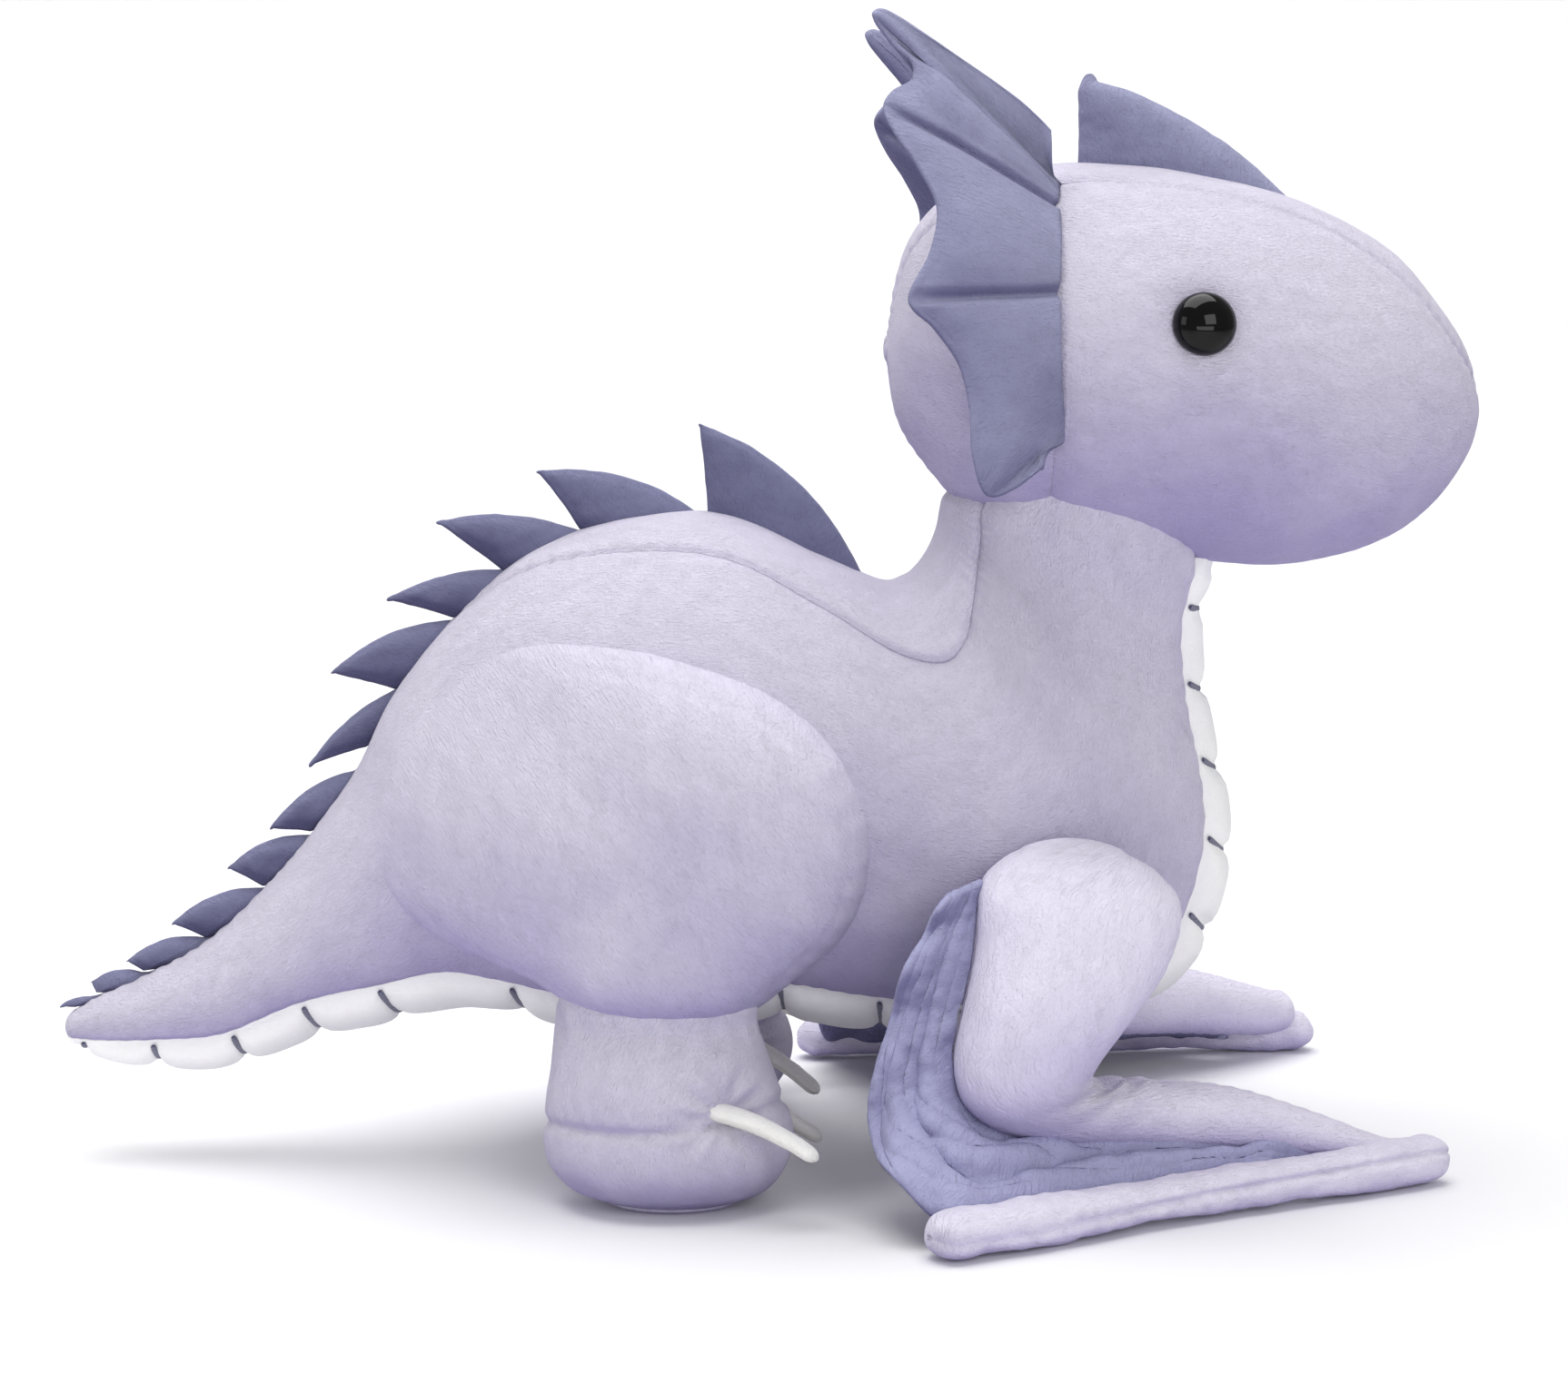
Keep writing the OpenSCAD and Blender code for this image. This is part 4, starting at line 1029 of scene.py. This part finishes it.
def build_legs():
    depth = torso_depth()
    phi = np.arange(0, 360, 1.5)
    angles = np.array([a for a, _ in HAUNCH])
    radii = np.array([r for _, r in HAUNCH], float)
    full = np.interp(phi, np.concatenate([angles, angles + 360]), np.concatenate([radii, radii]))
    kernel = np.exp(-(np.arange(-12, 13) * 1.5 / 8) ** 2)
    kernel /= kernel.sum()
    full = np.convolve(np.concatenate([full[-12:], full, full[:12]]), kernel, "valid")
    c, s = np.cos(np.radians(phi)), np.sin(np.radians(phi))
    behind = np.exp(-np.abs((phi - 158) / 52.0) ** 3.2)
    below = np.exp(-np.abs((phi - 268) / 46.0) ** 3)
    share = np.concatenate([np.linspace(0, 0.84, 36)[1:], 1 - (1 - 0.84) * np.linspace(1, 0, 30)[1:] ** 1.6])
    top = 83.0
    k = share[:, None]
    x, z = THIGH[0] + full * c * k, THIGH[1] + full * s * k
    base = depth(x, z)
    steep = (1 - k ** 2.9) ** 0.52
    flat = (1 - k ** 6) ** 0.4
    slope = (0.5 * (1 + np.cos(np.pi * k ** 1.1))) ** 1.15
    rise = (steep * (1 - below) + flat * below) * (1 - behind) + slope * behind
    h = base * (1 - rise) + top * rise - (5.0 - 3.4 * behind) * k ** 8
    rings = [np.stack([a, -b, d], 1) for a, b, d in zip(x, h, z)]
    # the rim goes on inward under the torso's skin
    for step in (1, 2, 3):
        rings.append(rings[-1] + np.stack([-c * 0.8 * step, np.full_like(c, 2.2), -s * 0.8 * step], 1))
    p = np.stack(rings)
    n = normals(p, True)
    n = n if n[..., 1].mean() < 0 else -n
    rim = np.abs(1 - np.concatenate([share, [1.02, 1.05, 1.08]]))[:, None] * full[None]
    walk = travel(p[-4:-3], 1)[0]
    front = (1 - behind) * (1 - 0.7 * below)
    move = lumps(p, 0.8)
    move = move + 0.17 * (pucker(walk, 2.0, 9.5) * front)[None] * np.exp(-((rim - 4) / 4.5) ** 2)
    move = move - (0.5 * front)[None] * np.exp(-((rim - 6.5) / 1.5) ** 2)
    p = p + n * move[..., None]
    slant = math.radians(-52)
    flat_way = [(math.cos(slant), 0, math.sin(slant)), (-math.sin(slant), 0, math.cos(slant))]
    for side, sign in SIDES:
        q = p * np.array([1, -sign, 1])
        piece = loft("plush_haunch_" + side, q, LILAC, "leg_" + side, flat=flat_way)
        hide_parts("thigh_" + side, "thigh_stuffing_" + side)
        foot(side, sign)


def foot(side, sign):
    count = 132
    q = rows(FOOT, np.linspace(0, len(FOOT) - 1, 84))
    w = np.linspace(0, 2 * np.pi, count, endpoint=False)
    first = FOOT[0]
    under = []
    for k in np.linspace(0.35, 0.97, 9):
        under.append([0.9 + 1.7 * (1 - math.sqrt(1 - k ** 4)), first[1] * k, first[2] * k, first[3]])
    q = np.concatenate([np.array(under), q])
    p = np.stack([q[:, 3:4] + q[:, 1:2] * np.cos(w), FOOT_Y + q[:, 2:3] * np.sin(w),
                  q[:, 0:1] + 0 * w[None]], -1)
    n = outward(normals(p, True), p, np.array([-33, FOOT_Y, 28.0]))
    # the side seam climbs from the heel to the claws
    level = 27.5 + 3.2 * np.cos(w)[None] + 0.8 * np.sin(3 * w)[None]
    d = np.abs(p[..., 2] - level)
    along = travel(p, 1)
    move = lumps(p, 0.6) + seam(d, along, 1.35, 0.3, 4.0)
    for place, _, _ in CLAWS:
        off = p - np.array(place)
        r = np.linalg.norm(off, axis=-1)
        ray = np.arctan2(off[..., 2], off[..., 0])
        move = move - 3.0 * np.exp(-(r / 6.5) ** 2) + 0.75 * np.sin(ray * 9 + 1) * np.exp(-((r - 9) / 6) ** 2)
    ankle = np.exp(-((p[..., 2] - 54) / 5) ** 2)
    move = move + ankle * (0.6 * pucker(along, 6.0, 9.0) - 0.8)
    p = p + n * move[..., None]
    p[..., 2] = np.maximum(p[..., 2], 0.7)
    piece = loft("plush_foot_" + side, p * np.array([1, sign, 1]), LILAC, "leg_" + side)
    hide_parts("foot_" + side, "foot_stuffing_" + side)
    # sole: round pad of the same plush with a turned edge
    rings = []
    for r, z in ((3, 0.15), (8, 0.12), (13, 0.1), (16.6, 0.15), (18.0, 0.5), (18.6, 1.2), (18.3, 1.9), (17.4, 2.4), (12, 2.6)):
        ring = np.stack([first[3] + r * 1.0 * np.cos(w), FOOT_Y + r * 0.7 * np.sin(w), z * 0.85 + 0 * w], 1)
        rings.append(ring)
    p = np.stack(rings)
    p[..., :2] += (0.12 * np.sin(31 * w) * np.linspace(0, 1, len(rings))[:, None])[..., None]
    piece = loft("plush_sole_" + side, p * np.array([1, sign, 1]), LILAC, "leg_" + side,
                 flat=[(1, 0, 0), (0, 1, 0)])
    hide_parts("sole_" + side)
    for i, (base, yaw, drop) in enumerate(CLAWS):
        claw(side, sign, i, np.array(base, float), math.radians(yaw), math.radians(drop))


def claw(side, sign, i, base, yaw, drop):
    """Soft suede claw: a flat little horn with a seam down each side, drooping to its tip."""
    steps = 46
    k = np.linspace(0, 1, steps)
    length = CLAW_LENGTH + 5
    droop = drop + 0.45 * (k - 0.35)
    step = length / (steps - 1)
    heading = np.stack([np.cos(droop) * math.cos(yaw), np.cos(droop) * math.sin(yaw), -np.sin(droop)], 1)
    spine = base - heading[0] * 3 + np.concatenate([[[0, 0, 0]], np.cumsum(heading[1:] * step, 0)])
    side_way = np.array([-math.sin(yaw), math.cos(yaw), 0])
    up = np.cross(heading, side_way)
    up = up if up[0, 2] > 0 else -up
    radius = 3.4 * (1 - 0.26 * k ** 1.5) * np.sqrt(np.clip(1 - np.clip((k - 0.9) / 0.1, 0, 1) ** 2 * 0.93, 0, 1))
    w = np.linspace(0, 2 * np.pi, 28, endpoint=False)
    x = np.cos(w)[None] * radius[:, None] * 1.08
    z = np.sin(w)[None] * radius[:, None] * 0.8 - 0.25 * np.exp(-((np.abs(np.cos(w)) - 1) / 0.08) ** 2)[None] * np.sign(np.sin(w))
    p = spine[:, None] + side_way * x[..., None] + up[:, None] * z[..., None]
    p = p + normals(p, True) * (0.16 * noise(p, 3.5, 8))[..., None]
    piece = loft(f"suede_claw_{'outer' if i == 0 else 'inner'}_{side}", p * np.array([1, sign, 1]),
                 SUEDE, "leg_" + side)
    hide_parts(f"claw_{'outer' if i == 0 else 'inner'}_{side}")


# ---- wings -------------------------------------------------------------------------------

def turn2(p, c, a):
    """Points turned about a vertical line through c by a degrees."""
    p = np.array(p, float)
    a = np.radians(a)
    x, y = p[..., 0] - c[0], p[..., 1] - c[1]
    out = p.copy()
    out[..., 0] = c[0] + x * np.cos(a) - y * np.sin(a)
    out[..., 1] = c[1] + x * np.sin(a) + y * np.cos(a)
    return out


def wing_yaw(sign):
    return -LEFT_YAW if sign > 0 else 0


def wrist_of(sign):
    return turn2(WRIST, ELBOW, wing_yaw(sign))


def corner_of(sign):
    return turn2(turn2(CORNER, WRIST, LEFT_OPEN if sign > 0 else 0), ELBOW, wing_yaw(sign))


def arm_rings(sign, s):
    q = rows(ARM, s)
    if sign > 0:
        # the far forearm keeps its stuffing right to the wrist
        q[:, 5] += np.interp(s, (8, 10, 12, 13), (0, 6, 9, 9))
        q[:, 6] += np.interp(s, (7, 10, 13), (0, 3, 4.5))
    yaw = wing_yaw(sign) * q[:, 7]
    a, b = turn2(q[:, 0:3], ELBOW, yaw), turn2(q[:, 3:6], ELBOW, yaw)
    mid, half = (a + b) / 2, (b - a) / 2
    lean = np.radians(yaw + 15 * q[:, 7])
    along = np.stack([np.sin(lean), -np.cos(lean), 0 * lean], 1)
    return mid, half, along, q[:, 6]


def build_wing(side, sign):
    s = even(lambda v: (rows(ARM, v)[:, 0:3] + rows(ARM, v)[:, 3:6]) / 2, 0, len(ARM) - 1, 1.5)
    mid, half, along, r = arm_rings(sign, s)
    w = np.linspace(0, 2 * np.pi, 96, endpoint=False)
    p = mid[:, None] + half[:, None] * np.cos(w)[None, :, None] + along[:, None] * (r[:, None] * np.sin(w))[..., None]
    first, last = [], []
    ahead = (mid[-1] - mid[-4]) / np.linalg.norm(mid[-1] - mid[-4])
    bluff = 7.0 if sign > 0 else 3.0
    for k in np.linspace(0.3, 0.98, 7):
        last.append(mid[-1] + (p[-1] - mid[-1]) * math.sqrt(1 - k * k) + ahead * bluff * k)
    start = math.radians(58)
    for a in np.linspace(start, math.radians(88), 9)[1:]:
        wide = math.cos(a) / math.cos(start)
        first.insert(0, mid[0] + (p[0] - mid[0]) * wide + np.array([0, 0, 24 * (math.sin(a) - math.sin(start))]))
    n = normals(p, True)
    n = n if np.sum(n * (p - mid[:, None])) > 0 else -n
    size = travel(p, 1)[:, -1:]
    edge = np.abs(((w + np.pi) % (2 * np.pi)) - np.pi)[None] / (2 * np.pi) * size
    back = np.abs(w - np.pi)[None] / (2 * np.pi) * size
    walk = travel(mid[:, None], 0)
    slim = np.clip(size / 70, 0.3, 1)
    move = lumps(p, 0.7) * slim + (seam(edge, walk, 0.9, 0.25, 5.0) + seam(back, walk, 0.9, 0.25, 3.0)) * slim
    # folds where the elbow bends
    fold = np.exp(-((s[:, None] - 7.6) / 1.1) ** 2) * np.exp(-(edge / 17) ** 2)
    move = move - fold * (1.4 + 1.2 * np.sin(walk / 2.1 + edge / 9))
    p = p + n * move[..., None]
    p = np.concatenate([np.stack(first), p, np.stack(last)])
    flip = np.array([1, -sign, 1])
    arm = loft("plush_arm_" + side, p * flip, LILAC_LONG, "wing_" + side)
    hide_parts("arm_" + side)
    finger_piece(side, sign, flip)
    MEMBRANES[side] = membrane_piece(side, sign, flip)


def finger_piece(side, sign, flip):
    """Stuffed edge of the wing: two layers sewn along the middle of its outer side."""
    a, b = wrist_of(sign), corner_of(sign)
    length = np.linalg.norm(b - a)
    way = (b - a) / length
    across = np.array([-way[1], way[0], 0])
    across = across if across[1] < 0 else -across
    across = across / np.linalg.norm(across)
    x = np.concatenate([-8 * np.cos(np.linspace(0.06, 1.5, 12)), np.linspace(0, length, 120),
                        length + 8 * np.sin(np.linspace(0.08, 1.5, 12))])
    inside = np.clip(x, 0, length)
    cap = np.sqrt(np.clip(1 - ((x - inside) / 8.05) ** 2, 0.01, 1))
    swell = 1 - 0.12 * np.sin(np.pi * inside / length) + 0.04 * np.sin(inside / 9)
    w = np.linspace(0, 2 * np.pi, 64, endpoint=False)
    c, s = np.cos(w), np.sin(w)
    y = np.sign(c) * np.abs(c) ** 0.85 * 8.0
    z = np.sign(s) * np.abs(s) ** 0.85 * 6.8
    wave = 1.2 * np.sin(inside / 23 + 1) * np.sin(np.pi * inside / length)
    p = (a + way * x[:, None])[:, None] + across * (y[None] * (cap * swell)[:, None] + wave[:, None])[..., None]
    p[..., 2] += z[None] * (cap * swell)[:, None]
    n = outward(normals(p, True), p, (a + b) / 2)
    walk = np.maximum(x, 0)[:, None]
    where = 0.15 + 0.012 * np.sin(walk / 6) + 0.35 * np.cos(np.pi * np.clip(walk / length, 0, 1))
    d = np.abs(np.angle(np.exp(1j * (w[None] - where)))) * 7.4
    fade = 0.35 + 0.65 * np.clip(1.3 - 1.3 * walk / length, 0, 1)
    move = seam(d, walk, 1.3, 0.4, 1.4) * cap[:, None] * fade
    move = move + 0.5 * noise(p, 9, 9) + 0.35 * noise(p, 3.4, 10)
    p = p + n * move[..., None]
    p[..., 2] = np.maximum(p[..., 2], 0.25)
    finger = loft("plush_finger_" + side, p * flip, LILAC_LONG, "finger_" + side)
    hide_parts("finger_" + side)


MEMBRANE_S = [1.6, 2.5, 3.3, 4.2, 5, 6, 7, 8, 8.8, 9.5, 10.1, 10.8, 11.5]
MEMBRANE_T = 3.0


def membrane_lines(sign):
    q = rows(ARM, np.array(MEMBRANE_S))
    out = q[:, 0:3] - q[:, 3:6]
    out /= np.linalg.norm(out, axis=1, keepdims=True)
    held = q[:, 0:3] + out * 0.5 + np.array([0, -1, 0])
    held = turn2(held, ELBOW, wing_yaw(sign) * q[:, 7])
    w, c = wrist_of(sign), corner_of(sign)
    v = (c - w) / np.linalg.norm(c - w)
    n = np.array([v[1], -v[0], 0])
    low = np.array([24, -77, 27.0])
    swell = np.array([-5, -3, 3.0])
    free = [[46, -74, 93], [38, -75, 81], [31, -74, 64], [26, -74, 45]]
    free += [low + (c + v * 3 + n * 4 - low) * k + swell * 4 * k * (1 - k) for k in (0, 0.5)]
    free += [w + (c - w) * k + n * 6.5 for k in (0.98, 0.85, 0.7, 0.57, 0.47, 0.36, 0.26)]
    return held, np.array([list(f) for f in free])


def membrane_piece(side, sign, flip):
    held, free = membrane_lines(sign)
    s = even(lambda v: rows(free, v) + 0.5 * rows(held, v), 0, len(held) - 1, 1.1)
    a, b = rows(held, s), rows(free, s)
    k = np.concatenate([np.linspace(0, 1, 56)])
    p = a[:, None] + (b - a)[:, None] * k[None, :, None]
    f = np.clip((s - 3) / 4, 0, 1)[:, None]
    lift = np.concatenate([-0.4 * (1 - f), -0.92 * (1 - f), f], 1)
    lift /= np.linalg.norm(lift, axis=1, keepdims=True)
    span = np.linalg.norm(b - a, axis=1)[:, None]
    walk = travel(((a + b) / 2)[:, None], 0)
    # folds run along the wing and meet at the wrist
    free_way = np.sin(np.pi * k ** 0.9)[None] ** 0.6
    drift = 0.9 * np.sin(walk / 26 + 0.6) + 0.5 * np.sin(walk / 11 + 2)
    wide_fold = 1 - 2 * np.abs(np.sin(k[None] * np.pi * 2.2 + drift + 0.35 * noise(p, 30, 15))) ** 0.85
    fine_fold = 1 - 2 * np.abs(np.sin(k[None] * np.pi * 5.3 + 1.4 + 1.6 * np.sin(walk / 17 + 2)
                                      + 0.5 * noise(p, 16, 13))) ** 0.9
    size = np.clip(span / 9.5, 0.4, 5.4) * (0.5 + 0.5 * f)
    rise = -(0.8 * wide_fold + 0.2 * fine_fold) * free_way * size
    rise = rise + (1.5 * noise(p, 13, 11) + 0.9 * noise(p, 6, 14)) * free_way * np.clip(span / 30, 0.4, 1)
    rise = rise + (f * 4.2 + 1.0) * free_way * 0.9
    last = np.clip(np.arange(len(s))[::-1] / 14, 0, 1)[:, None]
    mid = p + lift[:, None] * (rise * last)[..., None]
    ruffle = 1.9 * np.sin(walk / 3.6 + 1.7 * np.sin(walk / 15)) * np.exp(-((1 - k)[None] * span / 9) ** 2) * (1 - 0.55 * f)
    mid = mid + lift[:, None] * (ruffle * last)[..., None]
    n = normals(mid)
    n = n if np.sum(n * lift[:, None]) > 0 else -n
    row_edge = np.minimum(np.arange(len(s)), np.arange(len(s))[::-1])[:, None] * 1.1
    edge = np.minimum((1 - k)[None] * span, row_edge)
    half = 0.35 + (MEMBRANE_T / 2 - 0.35) * np.sqrt(1 - np.exp(-(edge / 1.6) ** 2))
    half = half + 0.22 * noise(mid, 2.6, 12)
    half[:, -1] = 0
    up, down = mid + n * half[..., None], mid - n * half[..., None]
    up[..., 2] = np.maximum(up[..., 2], 2.4)
    down[..., 2] = np.maximum(down[..., 2], 0.5)
    for end in (0, -1):
        up[end] = down[end] = (up[end] + down[end]) / 2
    loop = np.concatenate([up, down[:, ::-1][:, 1:]], 1)
    piece = sheet_loop("plush_membrane_" + side, loop * flip, SLATE_LONG, None)
    wide = float(np.linalg.norm(np.diff(mid, axis=1), axis=-1).sum(1).max()) * MM
    tall = float(np.linalg.norm(np.diff(mid, axis=0), axis=-1).sum(0).max()) * MM
    d1, d2 = np.diff(mid, axis=0)[:, :-1], np.diff(mid, axis=1)[:-1]
    area = float(np.linalg.norm(np.cross(d1, d2), axis=-1).sum()) * MM * MM
    return piece, wide, tall, area


# ---- camera, floor and lights ------------------------------------------------------------

def build_stage():
    scene = bpy.context.scene
    camera = bpy.data.objects.new("camera", bpy.data.cameras.new("camera"))
    scene.collection.objects.link(camera)
    camera.location = (0.0075, -1.0099, 0.265)
    camera.rotation_euler = (math.radians(90 - 7.2), 0, 0)
    camera.data.sensor_width = 36
    camera.data.lens = 77.59
    scene.camera = camera

    # floor that curves up into a backdrop
    profile = [(-2.4, 0.0), (1.6, 0.0)]
    profile += [(1.6 + 1.2 * math.sin(a), 1.2 - 1.2 * math.cos(a)) for a in np.linspace(0.02, math.pi / 2, 90)]
    profile += [(2.8, 4.0)]
    x = np.linspace(-4.5, 4.5, 2)
    verts = [(float(i), y, z) for y, z in profile for i in x]
    faces = [(2 * i, 2 * i + 1, 2 * i + 3, 2 * i + 2) for i in range(len(profile) - 1)]
    mesh = bpy.data.meshes.new("floor")
    mesh.from_pydata(verts, [], faces)
    mesh.polygons.foreach_set("use_smooth", [True] * len(faces))
    floor = bpy.data.objects.new("floor", mesh)
    scene.collection.objects.link(floor)
    mesh.materials.append(plain_material("floor_paper", srgb(251, 251, 251), srgb(249, 249, 250), 0.9, 2.0))

    world = bpy.data.worlds.new("studio")
    scene.world = world
    world.use_nodes = True
    sky = world.node_tree.nodes["Background"]
    sky.inputs["Color"].default_value = (0.97, 0.975, 1.0, 1)
    sky.inputs["Strength"].default_value = 0.33

    def lamp(name, place, target, size, power, colour=(1, 1, 1), shape="RECTANGLE"):
        data = bpy.data.lights.new(name, "AREA")
        data.shape, data.size, data.size_y = shape, size[0], size[1]
        data.energy, data.color = power, colour
        light = bpy.data.objects.new(name, data)
        scene.collection.objects.link(light)
        light.location = place
        light.rotation_euler = (Vector(target) - Vector(place)).to_track_quat("-Z", "Y").to_euler()

    lamp("top", (-0.1, 0.15, 1.5), (0, 0, 0.1), (1.5, 1.3), 22)
    lamp("front", (0.7, -1.6, 1.0), (0, 0, 0.15), (0.9, 0.8), 7)
    lamp("low_front", (0.25, -1.7, 0.28), (0, 0, 0.06), (1.4, 0.3), 3.5)
    lamp("left", (-1.5, -0.8, 0.8), (0, 0, 0.15), (0.7, 0.7), 2.5)
    lamp("backdrop", (0, 1.1, 1.9), (0, 2.75, 0.9), (3.0, 0.6), 30)
    scene.view_settings.view_transform = "Standard"
    scene.view_settings.look = "None"


def main():
    build_body()
    build_head()
    build_spines()
    build_crest()
    build_ears()
    build_legs()
    for side, sign in SIDES:
        build_wing(side, sign)
    for side, sign in SIDES:
        finish_membrane(side, sign)
    for name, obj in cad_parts.items():
        if name.startswith("eye_washer"):
            dress_node(obj, WASHER)
    build_stage()


MEMBRANES = {}


def finish_membrane(side, sign):
    piece, wide, tall, area = MEMBRANES[side]
    flip = np.array([1, -sign, 1])
    w, c = wrist_of(sign) * flip, corner_of(sign) * flip
    v = (c - w) / np.linalg.norm(c - w)
    held = turn2(rows(ARM, [6.0])[0, 0:3], ELBOW, wing_yaw(sign) * 0.25) * flip
    toward = (w - held) - v * np.dot(w - held, v)
    toward[2] = 0
    gap = np.linalg.norm(toward)
    toward /= gap
    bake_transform(piece)
    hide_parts("membrane_" + side)


def dress_node(obj, material):
    for holder in obj.material_slots:
        holder.material = material


main()
